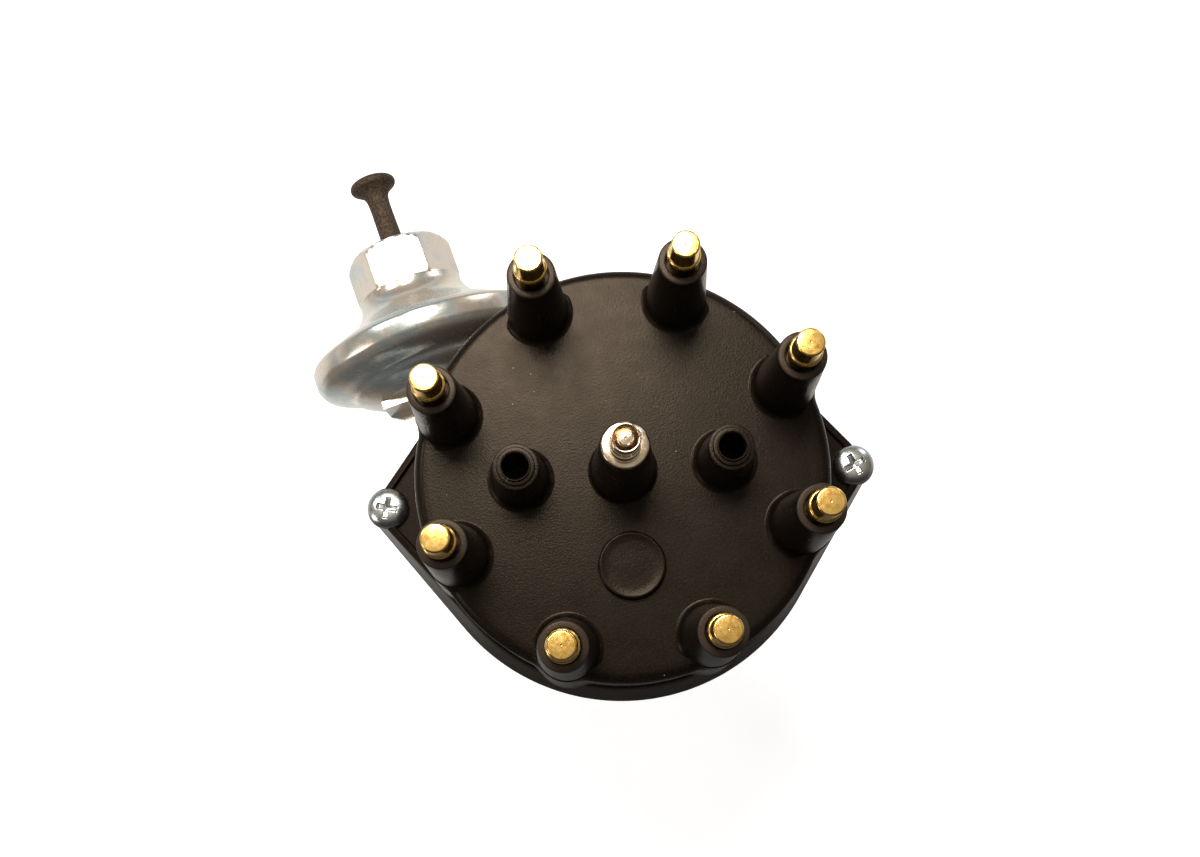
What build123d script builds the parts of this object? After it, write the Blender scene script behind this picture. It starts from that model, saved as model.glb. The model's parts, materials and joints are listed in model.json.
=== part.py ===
from build123d import *
import math
import os

# Eight-cylinder ignition distributor with mechanical and vacuum advance. Millimetres.
# Origin: shaft axis at the underside of the mounting collar. +Z up the shaft, +X along the cap screws.
# The rotor turns anticlockwise, seen from above.

# Clearances
slip = 0.1  # between flat faces that slide on each other
running = 0.05  # radial, shafts and journals in their bores
pin_play = 0.25  # radial, pull rod eye on its pin
fit_gap = 0.2  # between cap and housing, and round the rod in its window

# Heights above the collar's underside
joint_z = 62.0  # where cap and housing meet
canister_z = 46.0  # canister axis and pull rod
plate_z = 39.1  # underside of the pickup plate
sleeve_top_z = 66.5  # top of the advance sleeve and weight plate
rotor_z = 76.0  # underside of the rotor

# Cap
cylinders = 8
cap_overhang = 3.5  # cap wall beyond the bowl
cap_height = 38.0
cap_draft = 1.0  # how much wider the wall is at the joint
cap_edge = 2.5
cap_wall = 3.5
cap_top_wall = 4.0
cap_flange_overhang = 2.5  # beyond the housing's flange
flange_lip = 1.1  # flange beyond the cap wall, at its upper edge
flange_height = 12.0
ear_reach = 8.1  # screw axis beyond the housing's flange
ear_r = 5.3
ear_lip_r = 3.3
ear_floor = 10.5  # height of the screw seat above the joint
ear_lip = 1.6
screw_seat_r = 5.2
skirt_depth = 4.5
skirt_wall = 2.8

# Plug towers and their terminals
tower_inset = 5.76  # tower axis inside the cap wall
tower_phase = 22.5
tower_base_r = 7.2
tower_top_r = 5.17
tower_height = 29.2
tower_flare = 2.0
tower_rib_r = 8.8  # at the flange
pin_recess_r = 3.9
pin_recess = 3.0
pin_shank_r = 2.6
pin_neck_r = 2.9
pin_r = 3.45
pin_tip_r = 2.6
pin_rise = 11.1  # above the tower
pin_cone = 1.2
pin_band = 4.2
pin_reach = 18.0  # below the cap's top

# Coil tower
coil_base_r = 7.9
coil_top_r = 5.2
coil_height = 31.5
coil_flange_r = 4.88
coil_flange = 1.4
coil_nut_r = 3.175
coil_stud_r = 2.1
coil_nut_height = 7.6
coil_nut_bevel = 0.4
coil_nut_waist = 0.86  # of the nut's radius
waist_low = 0.36  # of the nut's height
waist_length = 0.2
coil_nut_rise = 2.3  # nut above the tower

# Vent posts and pad
vent_pitch_r = 23.1
vent_base_r = 6.4
vent_top_r = 5.0
vent_height = 20.2
vent_bore_r = 2.85
vent_step = 0.85
pad_y = -21.6
pad_r = 7.8
pad_height = 2.0
pad_dish_r = 6.0

# Cap screws
screw_shank_r = 2.4
screw_hole_r = 2.7
screw_head_r = 4.75
screw_head = 2.9
screw_length = 22.0
recess_arm = 5.2
recess_width = 1.1
recess_depth = 1.5

# Brush
brush_r = 2.5
brush_length = 13.0
brush_boss_r = 6.0
brush_boss_height = 6.0
brush_spring_room = 8.0

# Housing
barrel_r = 15.5
barrel_end_z = -68.0
pilot_r = 18.25
pilot_length = 20.0
collar_r = 27.0
collar_height = 8.0
neck_r = 18.0
bowl_wall = 3.5
bowl_foot_z = 18.0
bowl_wall_z = 25.0
bowl_floor_z = 27.5
boss_r = 21.5
journal_r = 18.6
housing_flange_overhang = 5.5
housing_flange = 6.0
ear_boss = 14.0
ear_step = 0.3  # from the cap's ear in to the housing's
ear_web = 2.0  # half its width
shaft_way_r = 9.5
o_ring_r = 1.4
o_ring_z = -14.0

# Bearings and shaft
shaft_r = 6.35
bush_r = 8.0
bush_length = 22.0
bearing_r = 14.3
bearing_width = 7.9
bearing_ring = 2.4
shaft_end_z = -115.0
shaft_collar_r = 9.0
shaft_collar = 1.4
shaft_bevel = 0.8
cam_seat_r = 4.0
drive_flat = 8.0  # across the flats of the hexagonal socket
drive_depth = 16.0

# Drive gear
gear_teeth = 13
gear_tip_r = 15.8
gear_root_r = 11.6
gear_hub_r = 12.0
gear_hub = 7.0
gear_face = 26.0
gear_twist = 105.0
gear_spans = 7
gear_tooth = (0.3, 0.52, 0.78)  # foot, tip start and tip end, as shares of the pitch
thrust_washer = 1.4
thrust_washer_r = 11.5
gear_pin_r = 2.0

# Centrifugal advance
sleeve_r = 9.0
weight_plate = 2.5
weight_plate_r = 25.0
weight_pitch_r = 17.0
weight_pin_r = 2.0
weight_pin_angle = 40.0
weight_sweep = 118.0
weight_inner_r = 10.2
weight_outer_r = 24.0
weight_heel_r = 5.5
weight_thick = 4.0
weight_pin_top_z = 75.0
notch_r = 7.0
post_pitch_r = 19.0
post_r = 3.2
cam_body_r = 6.4
cam_lobe_r = 3.0
cam_lobe_pitch_r = 6.5
cam_post_r = 1.1
clip = 0.8
clip_r = 4.6
clip_groove = 0.7
clip_slot = 2.0  # half its width
spring_wire_r = 0.45
spring_coil_r = 1.6

# Reluctor and pickup
reluctor_r = 17.0
reluctor_hub_r = 12.0
reluctor_height = 8.0
reluctor_z = 46.0
reluctor_tooth = 3.6
air_gap = 0.6
plate_thick = 2.0
plate_gap = 2.5  # between plate and bowl
plate_ring = 1.0
plate_ring_r = 20.6
pickup_angle = 300.0
pickup_width = 14.0
pole_width = 4.0
pole_height = 5.0
coil_length = 7.0
coil_size = 12.0
bracket_sheet = 2.0
coil_gap = 2.4  # between pole tip and coil
magnet_thick = 2.9
magnet_width = 0.8  # of the pickup's
foot_length = 5.0  # of the bracket, beyond its upright
foot_gap = 3.5  # between bracket and bowl
foot_ring_gap = 1.4
pickup_screw_r = 1.5
pickup_head_r = 2.3
pickup_screw_pitch = 9.0
pickup_screw_head = 1.6
pickup_screw_reach = 3.2  # beyond the bracket
plate_hole_r = 5.0
plate_holes = (40.0, 80.0, 120.0)  # angles
pin_collar = 1.2
rod_pin_rise = 1.5  # above the pull rod

# Rotor
rotor_r = 23.5
rotor_disc = 4.0
rotor_hub_r = 8.0
rotor_arm = 6.0
rotor_arm_width = 11.0
rotor_arm_gap = 2.0  # blade beyond the arm
blade_width = 7.0
blade_thick = 1.5
rotor_gap = 1.14  # between blade and terminal
blade_tip = 2.5  # depth of its turned-down tip
rotor_tail = 14.0  # counterweight
rotor_tail_width = 0.6  # of the arm's
rotor_tail_step = 2.0
rotor_hollow = 2.5  # round the centre cam
rotor_screw_r = 1.9
rotor_head_r = 3.6
rotor_head = 2.2
rotor_screw_length = 11.0
rotor_turn = tower_phase + 45.0  # the arm points at a terminal and stands clear of the screws

# Vacuum canister. Its axis is level, at canister_angle from +X, and passes the shaft at rod_radius.
canister_angle = 104.9
rod_wall_gap = 6.5  # rod axis inside the bowl wall
advance_travel = 10.0  # degrees of plate movement, half of it either side of the tangent
canister_inset = 3.8  # rear face inside the housing's flange, along the canister axis
rear_depth = 13.4  # rear face to rim
rear_face_r = 16.8
rear_step_r = 24.0
rear_step = 5.8
rear_round = 2.3
clamp_width = 2.6
rim_r = 32.2
rim_wall = 1.0
rim_lip = 2.8  # width of the rim's rolled edge
shell_wall = 1.2
nose_ring_r = 14.3
flare_knee_r = 5.8
flare_slope = 0.41
flare_crown = 0.5
flare_hip = 0.55  # of the way from the rim to the knee
flare_depth = 10.5  # rim to nose ring
nose_ring = 5.0
hex_flats = 25.4
hex_length = 12.4
hex_chamfer_r = 12.7
nose_bore_r = 10.0
rod_hole_r = 5.0
rod_width = 6.0
rod_thick = 2.0
rod_eye_r = 4.2
rod_pin_r = 2.0
bracket_half = 16.5
tongue_half = 12.8
tongue_length = 16.0
tongue_z = 41.0
bracket_top_z = 54.0
shelf_half = 11.0
shelf_depth = 11.0
shelf_inset = 2.7  # shelf end from the rear face
shelf_length = 22.0
bracket_screw_inset = 3.4  # from the shelf's end
bracket_screw_length = 9.0
bracket_bend = 1.5
window_gap = 1.0  # round the rod in its window
bracket_screw_pitch = 14.0
bracket_screw_r = 1.9
bracket_head_r = 3.6
bracket_head = 2.0
diaphragm_sheet = 0.7
diaphragm_groove = 2.0
diaphragm_land = 4.0
cup_r = 17.0
cup_depth = 2.0
valve_spring_r = 8.0
valve_spring_wire_r = 0.8
adjuster_r = 9.5
adjuster_thick = 1.6
adjuster_stem_r = 4.0
adjuster_stem = 4.0
nipple_r = 2.3
nipple_bore_r = 1.4
nipple_length = 16.0
nipple_base = 6.0  # buried in the nose from its rear face
plug_stem_r = 3.1
plug_head_r = 6.4
plug_length = 21.6
plug_flare = 4.0
plug_bell = 1.3
plug_head = 2.2

# Grommet of the pickup lead
grommet_angle = 255.0
grommet_z = 47.5
grommet_hole_r = 6.0
grommet_flange_r = 8.0
grommet_flange = 1.5
lead_hole_r = 2.5

# What follows from them
coil_in_r = reluctor_r + air_gap + coil_gap
upright_in_r = coil_in_r + coil_length + slip + magnet_thick
bracket_reach = upright_in_r + bracket_sheet
foot_reach = bracket_reach + foot_length
bowl_inner_r = foot_reach + foot_gap
bowl_r = bowl_inner_r + bowl_wall
cap_r = bowl_r + cap_overhang
cap_bore_r = cap_r - cap_wall
housing_flange_r = bowl_r + housing_flange_overhang
flange_r = housing_flange_r + cap_flange_overhang
flange_lip_r = cap_r + flange_lip
ear_pitch_r = housing_flange_r + ear_reach
tower_pitch_r = cap_r - tower_inset
plate_r = bowl_inner_r - plate_gap
rod_radius = bowl_inner_r - rod_wall_gap
back_s = housing_flange_r - canister_inset  # distances along the canister axis from abreast of the shaft
rim_s = back_s + rear_depth
nose_ring_s = rim_s + flare_depth
hex_s = nose_ring_s + nose_ring
shelf_s = back_s - shelf_inset
bracket_screw_s = shelf_s - bracket_screw_inset
blade_reach = tower_pitch_r - pin_shank_r - rotor_gap
rotor_reach = blade_reach - rotor_arm_gap
cap_top_z = joint_z + cap_height
cavity_top_z = cap_top_z - cap_top_wall
tower_top_z = cap_top_z + tower_height
coil_top_z = cap_top_z + coil_height
bearing_z = plate_z + plate_thick + slip + plate_ring - bearing_width
pocket_top_z = bearing_z + bearing_width
gear_top_z = barrel_end_z - thrust_washer - slip
plate_top_z = plate_z + plate_thick
weight_z = sleeve_top_z + slip
weight_top_z = weight_z + weight_thick
blade_z = rotor_z + rotor_disc + rotor_arm
brush_z = blade_z + blade_thick + running
half_swing = math.radians(advance_travel / 2)
rod_pin_angle = canister_angle + 90 + advance_travel / 2
eye_s = -rod_radius * math.sin(half_swing)
tongue_top_z = tongue_z + bracket_sheet
nose_s = hex_s + hex_length
hex_corner_r = hex_flats / math.sqrt(3)
towers = [tower_phase + 360 / cylinders * index for index in range(cylinders)]


# Frames and helpers
def upright(radius, low, high, x=0, y=0):
    return Pos(x, y, low) * Cylinder(radius, high - low, align=(Align.CENTER, Align.CENTER, Align.MIN))


def tube(outer, inner, low, high, x=0, y=0):
    return upright(outer, low, high, x, y) - upright(inner, low - 1, high + 1, x, y)


def cone(low_r, high_r, low, high, x=0, y=0):
    return Pos(x, y, low) * Cone(low_r, high_r, high - low, align=(Align.CENTER, Align.CENTER, Align.MIN))


def block(x0, x1, y0, y1, z0, z1):
    return Pos(x0, y0, z0) * Box(x1 - x0, y1 - y0, z1 - z0, align=(Align.MIN,) * 3)


def turned(*curves):
    # revolves a closed outline of (radius, height) about Z
    edges = [edge for curve in curves for edge in curve.edges()]
    return revolve(Plane.XZ * make_face(edges), Axis.Z)


def turned_points(*points):
    return turned(Polyline(*points, close=True))


def about_shaft(shape, angle):
    return Rot(0, 0, angle) * shape


def polar(radius, angle):
    return radius * math.cos(math.radians(angle)), radius * math.sin(math.radians(angle))


def ring_edges(shape, radius, height):
    edges = shape.edges().filter_by(GeomType.CIRCLE)
    return [e for e in edges if abs(e.radius - radius) < 0.01 and abs(e.arc_center.Z - height) < 0.01]


def ears(body_r, lobe_r, height):
    # round body with a lobe at each cap screw, joined by straight sides
    lobes = Circle(body_r) + [Pos(side * ear_pitch_r, 0) * Circle(lobe_r) for side in (-1, 1)]
    return Pos(0, 0, height) * make_hull(lobes.edges())


def pan_screw(shank_r, head_r, head, length):
    # cross-recess pan screw, head standing on z = 0
    dome = upright(head_r, 0, head)
    dome = chamfer(ring_edges(dome, head_r, head), head * 0.45)
    arm = head_r * recess_arm / screw_head_r / 2
    half = head_r * recess_width / screw_head_r / 2
    cut = head * recess_depth / screw_head
    cross = block(-arm, arm, -half, half, head - cut, head + 1) + block(-half, half, -arm, arm, head - cut, head + 1)
    return dome - cross + upright(shank_r, -length, 0)


axis_dir = Vector(*polar(1, canister_angle), 0)
outward = Vector(*polar(1, canister_angle + 90), 0)
canister = Plane(origin=outward * rod_radius + Vector(0, 0, canister_z), x_dir=outward, z_dir=axis_dir).location
# level frame: +X away from the shaft, +Y along the canister axis, from a point on the shaft axis at z = 0
abreast = Rot(0, 0, canister_angle - 90)


def along_canister(shape):
    return canister * shape


def save(name, *shapes):
    solids = [solid for shape in shapes for solid in shape.solids()]
    export_step(solids[0] if len(solids) == 1 else Compound(solids), f"parts/{name}.step")


def swell(start, end, steps):
    # points of an elliptical quarter that leaves start outward and arrives at end along the axis
    turns = [math.radians(90 * step / steps) for step in range(1, steps + 1)]
    return [(start[0] + (end[0] - start[0]) * math.sin(turn), start[1] + (end[1] - start[1]) * (1 - math.cos(turn)))
            for turn in turns]


def both_sides(shape):
    return [shape, Rot(0, 0, 180) * shape]


# Cap
def tower_stem(base_r, top_r, low, high, x=0, y=0):
    # tapered stem, flared where it meets the cap's top and trimmed at the cap's edge
    flare = cone(base_r + tower_flare, base_r - 0.1, low, low + tower_flare, x, y)
    return cone(base_r, top_r, low, high, x, y) + (flare & upright(cap_r - cap_edge * 0.4, low, high))


def make_cap():
    wall_foot_r = cap_r + cap_draft
    shell = cone(wall_foot_r, cap_r, joint_z, cap_top_z)
    shell = fillet(ring_edges(shell, cap_r, cap_top_z), cap_edge)
    lip_z = joint_z + flange_height
    flange = loft([ears(flange_r, ear_r, joint_z), ears(flange_lip_r, ear_lip_r, lip_z)], ruled=True)
    seat_z = joint_z + ear_floor
    pocket = extrude(ears(flange_lip_r - ear_lip, ear_lip_r - ear_lip, seat_z), flange_height)
    seats = [upright(screw_seat_r, seat_z, lip_z + 1, side * ear_pitch_r) for side in (-1, 1)]
    body = flange - pocket - seats + shell
    for angle in towers:
        x, y = polar(tower_pitch_r, angle)
        body += cone(tower_rib_r, tower_base_r, lip_z - 3, cap_top_z, x, y)
        body += tower_stem(tower_base_r, tower_top_r, cap_top_z, tower_top_z, x, y)
    body += tower_stem(coil_base_r, coil_top_r, cap_top_z, coil_top_z)
    vent_shoulder_z = cap_top_z + vent_height - 2 * vent_step
    for side in (-1, 1):
        x = side * vent_pitch_r
        body += tower_stem(vent_base_r, vent_top_r, cap_top_z, vent_shoulder_z, x)
        body += upright(vent_top_r - vent_step, vent_shoulder_z - 1, cap_top_z + vent_height - vent_step, x)
        body += upright(vent_top_r - 2 * vent_step, vent_shoulder_z - 1, cap_top_z + vent_height, x)
    pad_z = cap_top_z + pad_height
    pad = upright(pad_r, cap_top_z - 1, pad_z, 0, pad_y)
    pad = chamfer(ring_edges(pad, pad_r, pad_z), pad_height * 0.3)
    dish_depth = pad_height * 0.2
    body += pad - cone(pad_dish_r - 1, pad_dish_r, pad_z - dish_depth, pad_z, 0, pad_y)
    skirt_r = housing_flange_r - skirt_wall - fit_gap
    body -= upright(skirt_r, joint_z - 1, joint_z + skirt_depth)
    body -= upright(cap_bore_r, joint_z, cavity_top_z)
    boss_low = cavity_top_z - brush_boss_height
    body += upright(brush_boss_r, boss_low, cavity_top_z + 1)
    body -= upright(brush_r + running, boss_low - 1, boss_low + brush_length + brush_spring_room)
    body -= upright(coil_stud_r, cap_top_z, coil_top_z + 1)
    for angle in towers:
        x, y = polar(tower_pitch_r, angle)
        body -= upright(pin_shank_r, cap_top_z - pin_reach, tower_top_z, x, y)
        body -= upright(pin_recess_r, tower_top_z - pin_recess, tower_top_z + 1, x, y)
    for side in (-1, 1):
        body -= upright(vent_bore_r, cavity_top_z - 1, cap_top_z + vent_height + 1, side * vent_pitch_r)
        body -= upright(screw_hole_r, joint_z - 1, seat_z + 1, side * ear_pitch_r)
    return body


def plug_terminal(angle):
    top = tower_top_z + pin_rise
    floor = tower_top_z - pin_recess
    band_low = top - pin_cone - pin_band
    profile = turned_points(
        (0, cap_top_z - pin_reach), (pin_shank_r, cap_top_z - pin_reach), (pin_shank_r, floor), (pin_neck_r, floor),
        (pin_neck_r, band_low - pin_cone), (pin_r, band_low), (pin_r, top - pin_cone),
        (pin_tip_r, top), (0, top))
    return Pos(*polar(tower_pitch_r, angle), 0) * profile


def make_cap_fittings():
    save("plug_terminals", *[plug_terminal(angle) for angle in towers])
    post_low = cavity_top_z - brush_boss_height + brush_length + brush_spring_room
    nut_z = coil_top_z + coil_nut_rise
    nut_top = nut_z + coil_nut_height
    post = upright(coil_stud_r, post_low, nut_top - slip) + upright(coil_flange_r, coil_top_z, coil_top_z + coil_flange)
    post += upright(coil_nut_r * coil_nut_waist, coil_top_z, nut_z)
    save("coil_terminal_post", post)
    nut = tube(coil_nut_r, coil_stud_r, nut_z, nut_top)
    waist_z = nut_z + coil_nut_height * waist_low
    waist_top = waist_z + coil_nut_height * waist_length
    nut -= tube(coil_nut_r + 1, coil_nut_r * coil_nut_waist, waist_z, waist_top)
    nut = chamfer(ring_edges(nut, coil_nut_r, nut_top), coil_nut_bevel)
    save("coil_terminal_nut", nut)
    save("carbon_brush", upright(brush_r, brush_z, brush_z + brush_length))
    spring_z = brush_z + brush_length
    save("brush_spring", coil_spring(brush_r - spring_wire_r, spring_wire_r, spring_z, post_low, 4))
    seat_z = joint_z + ear_floor
    screw = pan_screw(screw_shank_r, screw_head_r, screw_head, screw_length)
    save("cap_screws", *[Pos(side * ear_pitch_r, 0, seat_z) * screw for side in (-1, 1)])


def coil_spring(coil_r, wire_r, low, high, turns):
    # open helix of square wire between two flat seats
    rise = high - low - 2 * wire_r
    path = Helix(rise / turns, rise, coil_r)
    section = Plane(path @ 0, x_dir=(1, 0, 0), z_dir=path % 0) * RegularPolygon(wire_r, 4, rotation=45)
    return Pos(0, 0, low + wire_r) * sweep(section, path, is_frenet=True)


# Housing
def make_housing():
    outer = turned_points(
        (0, barrel_end_z), (barrel_r, barrel_end_z), (barrel_r, -pilot_length), (pilot_r, -pilot_length), (pilot_r, 0),
        (collar_r, 0), (collar_r, collar_height), (neck_r, collar_height), (neck_r, bowl_foot_z),
        (bowl_r, bowl_wall_z), (bowl_r, joint_z), (0, joint_z))
    outer = chamfer(ring_edges(outer, collar_r, collar_height) + ring_edges(outer, barrel_r, barrel_end_z), 1)
    shelf_y = shelf_s - shelf_length
    shelf = block(rod_radius - shelf_half, rod_radius + shelf_half, shelf_y, shelf_s, tongue_z - shelf_depth, tongue_z)
    outer += abreast * shelf_mirror(shelf)
    flange_low = joint_z - housing_flange
    outer += extrude(ears(housing_flange_r, ear_r - ear_step, flange_low), housing_flange)
    rim_top = joint_z + skirt_depth - fit_gap
    rim_r_out = housing_flange_r - skirt_wall - 2 * fit_gap
    outer += upright(rim_r_out, joint_z - 1, rim_top)
    for side in (-1, 1):
        outer += upright(ear_r - ear_step, joint_z - ear_boss, joint_z, side * ear_pitch_r)
        web = sorted((side * bowl_inner_r, side * ear_pitch_r))
        outer += block(*web, -ear_web, ear_web, joint_z - ear_boss, joint_z)
    bowl = upright(bowl_inner_r, bowl_floor_z, rim_top + 1)
    bowl -= upright(boss_r, bowl_floor_z - 1, plate_z - slip) + upright(journal_r, bowl_floor_z, pocket_top_z)
    body = outer - bowl
    body -= upright(shaft_way_r, barrel_end_z + bush_length, pocket_top_z + 1)
    body -= upright(bush_r, barrel_end_z - 1, barrel_end_z + bush_length + 1)
    body -= upright(bearing_r, bearing_z, pocket_top_z + 1)
    groove_r = pilot_r - 2 * o_ring_r - slip / 2
    body -= tube(pilot_r + 1, groove_r, o_ring_z - o_ring_r * 1.3, o_ring_z + o_ring_r * 1.3)
    window_half = rod_width / 2 + window_gap
    window_rise = rod_thick / 2 + window_gap
    window = block(rod_radius - window_half, rod_radius + window_half, rod_eye_r + window_gap, back_s,
                   canister_z - window_rise, canister_z + window_rise)
    body -= abreast * shelf_mirror(window)
    hole = upright(grommet_hole_r, bowl_inner_r - grommet_flange, bowl_r + grommet_flange)
    body -= about_shaft(Pos(0, 0, grommet_z) * Rot(0, 90, 0) * hole, grommet_angle)
    for side in (-1, 1):
        screw_low = joint_z + ear_floor - screw_length - 1
        body -= upright(screw_shank_r, screw_low, joint_z + 1, side * ear_pitch_r)
        body -= abreast * shelf_mirror(upright(bracket_screw_r, tongue_z - bracket_screw_length, tongue_z + 1,
                                               rod_radius + side * bracket_screw_pitch / 2, bracket_screw_s))
    return body


def shelf_mirror(shape):
    # the canister lies on the -X side of the level frame
    return mirror(shape, Plane.YZ)


def make_housing_fittings():
    save("lower_bush", tube(bush_r, shaft_r + running, barrel_end_z, barrel_end_z + bush_length))
    ring_section = RegularPolygon(o_ring_r, 8, rotation=22.5, major_radius=False)
    ring_section = Pos(pilot_r - o_ring_r - slip / 2, o_ring_z) * ring_section
    save("barrel_o_ring", revolve(Plane.XZ * ring_section, Axis.Z))
    outer_low_r = bearing_r - bearing_ring
    inner_high_r = shaft_r + bearing_ring
    bearing_top = bearing_z + bearing_width
    save("bearing_outer_ring", tube(bearing_r, outer_low_r, bearing_z, bearing_top))
    save("bearing_inner_ring", tube(inner_high_r, shaft_r, bearing_z, bearing_top))
    seal = tube(outer_low_r, inner_high_r + running, 0, 1)
    save("bearing_seals", *[Pos(0, 0, low) * seal for low in (bearing_z, bearing_top - 1)])
    inside, outside = bowl_inner_r - grommet_flange, bowl_r + grommet_flange
    radial = Pos(0, 0, grommet_z) * Rot(0, 90, 0)
    flanges = radial * tube(grommet_flange_r, lead_hole_r, inside, outside) - tube(bowl_r, bowl_inner_r, 0, joint_z)
    grommet = flanges + radial * tube(grommet_hole_r, lead_hole_r, inside, outside)
    save("lead_grommet", about_shaft(grommet, grommet_angle))


# Shaft and drive
def make_shaft():
    cam_top_z = weight_top_z
    shaft = upright(shaft_r, shaft_end_z, sleeve_top_z) + upright(cam_seat_r, sleeve_top_z - 1, cam_top_z + 3 * clip)
    shaft += upright(shaft_collar_r, pocket_top_z, pocket_top_z + shaft_collar)
    shaft = chamfer(ring_edges(shaft, shaft_r, shaft_end_z), shaft_bevel)
    socket = extrude(RegularPolygon(drive_flat / 2, 6, major_radius=False), drive_depth)
    shaft -= Pos(0, 0, shaft_end_z) * socket
    clip_low = cam_top_z + slip
    shaft -= tube(cam_seat_r + 1, cam_seat_r - clip_groove, clip_low, clip_low + clip)
    pin_z = gear_top_z - gear_hub / 2
    shaft -= Pos(0, 0, pin_z) * Rot(0, 90, 0) * upright(gear_pin_r, -gear_tip_r, gear_tip_r)
    save("main_shaft", shaft)
    low = gear_top_z - gear_hub - gear_face
    pitch = 360 / gear_teeth
    foot, tip_start, tip_end = gear_tooth
    corners = []
    for tooth in range(gear_teeth):
        for radius, share in ((gear_root_r, 0), (gear_root_r, foot), (gear_tip_r, tip_start), (gear_tip_r, tip_end)):
            corners.append(polar(radius, pitch * (tooth + share)))
    section = make_face(Polyline(*corners, close=True)).face()
    steps = [step / gear_spans for step in range(gear_spans + 1)]
    toothed = loft([Pos(0, 0, low + gear_face * step) * Rot(0, 0, gear_twist * step) * section for step in steps],
                   ruled=True)
    gear = toothed + upright(gear_hub_r, gear_top_z - gear_hub, gear_top_z)
    gear -= upright(shaft_r, low - 1, gear_top_z + 1)
    gear -= Pos(0, 0, pin_z) * Rot(0, 90, 0) * upright(gear_pin_r, -gear_tip_r, gear_tip_r)
    save("drive_gear", gear)
    pin_half = gear_hub_r - 0.5
    save("gear_pin", Pos(0, 0, pin_z) * Rot(0, 90, 0) * tube(gear_pin_r, gear_pin_r / 2, -pin_half, pin_half))
    washer_low = gear_top_z
    save("thrust_washer", tube(thrust_washer_r, shaft_r, washer_low, washer_low + thrust_washer))


def make_centre_cam():
    lobes = [Pos(side * cam_lobe_pitch_r, 0) * Circle(cam_lobe_r) for side in (-1, 1)]
    outline = make_hull((Circle(cam_body_r) + lobes).edges())
    cam = extrude(Pos(0, 0, weight_z) * outline, weight_thick) - upright(cam_seat_r, weight_z - 1, weight_top_z + 1)
    for side in (-1, 1):
        cam += upright(cam_post_r, weight_top_z - 1, weight_pin_top_z, side * cam_lobe_pitch_r)
    save("centre_cam", about_shaft(cam, weight_pin_angle + 90))
    clip_low = weight_top_z + slip
    clip_ring = tube(clip_r, cam_seat_r - clip_groove, clip_low, clip_low + clip)
    save("cam_clip", clip_ring - block(0, clip_r + 1, -clip_slot, clip_slot, clip_low - 1, clip_low + clip + 1))


# Advance weights, sleeve and reluctor
def weight(angle):
    x, y = polar(weight_pitch_r, 0)
    ring = Circle(weight_outer_r) - Circle(weight_inner_r)
    reach = 3 * weight_outer_r
    wedge = Polygon((0, 0), polar(reach, 0), polar(reach, weight_sweep / 2), polar(reach, weight_sweep), align=None)
    outline = (ring & wedge) + Pos(x, y) * Circle(weight_heel_r)
    plate = extrude(Pos(0, 0, weight_z) * outline, weight_thick)
    plate -= upright(weight_pin_r + running, weight_z - 1, weight_top_z + 1, x, y)
    return about_shaft(plate, angle)


def advance_spring(angle):
    # close-wound extension spring, with an eye on a weight pin and one on a post of the centre cam
    start = Vector(*polar(weight_pitch_r, angle), 0)
    end = Vector(*polar(cam_lobe_pitch_r, angle + 90), 0)
    span = end - start
    height = weight_top_z + spring_coil_r + 2 * slip
    eye = 2 * spring_wire_r
    big_r, small_r = weight_pin_r + running, cam_post_r + running
    coil = tube(spring_coil_r, spring_coil_r - 2 * spring_wire_r, big_r + eye / 2, span.length - small_r - eye / 2)
    big_eye = Rot(0, 90, 0) * tube(big_r + eye, big_r, -spring_wire_r, spring_wire_r)
    small_eye = Pos(0, 0, span.length) * Rot(0, 90, 0) * tube(small_r + eye, small_r, -spring_wire_r, spring_wire_r)
    along = Plane(origin=(start.X, start.Y, height), x_dir=(0, 0, 1), z_dir=(span.X, span.Y, 0)).location
    return along * (coil + big_eye + small_eye)


def make_advance():
    sleeve_low = pocket_top_z + shaft_collar + slip
    save("advance_sleeve", tube(sleeve_r, shaft_r + running, sleeve_low, sleeve_top_z))
    plate_low = sleeve_top_z - weight_plate
    pin = upright(weight_pin_r, plate_low, weight_pin_top_z, *polar(weight_pitch_r, weight_pin_angle))
    post = upright(post_r, plate_low, rotor_z, post_pitch_r)
    post -= upright(rotor_screw_r, plate_low - 1, rotor_z + 1, post_pitch_r)
    plate = tube(weight_plate_r, sleeve_r, plate_low, sleeve_top_z)
    plate -= both_sides(upright(rotor_screw_r, plate_low - 1, rotor_z, post_pitch_r))
    for notch_angle in (weight_pin_angle + weight_sweep / 2, weight_pin_angle + weight_sweep / 2 + 180):
        plate -= upright(notch_r, plate_low - 1, sleeve_top_z + 1, *polar(weight_plate_r + 2, notch_angle))
    save("weight_plate", plate + both_sides(pin) + both_sides(post))
    save("weight_a", weight(weight_pin_angle))
    save("weight_b", weight(weight_pin_angle + 180))
    save("advance_springs", *both_sides(advance_spring(weight_pin_angle)))
    star = tube(reluctor_hub_r, sleeve_r, reluctor_z, reluctor_z + reluctor_height)
    half = reluctor_tooth / 2
    for index in range(cylinders):
        tooth = block(reluctor_hub_r - 1, reluctor_r, -half, half, reluctor_z, reluctor_z + reluctor_height)
        star += about_shaft(tooth, 360 / cylinders * index)
    save("reluctor", star)


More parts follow.
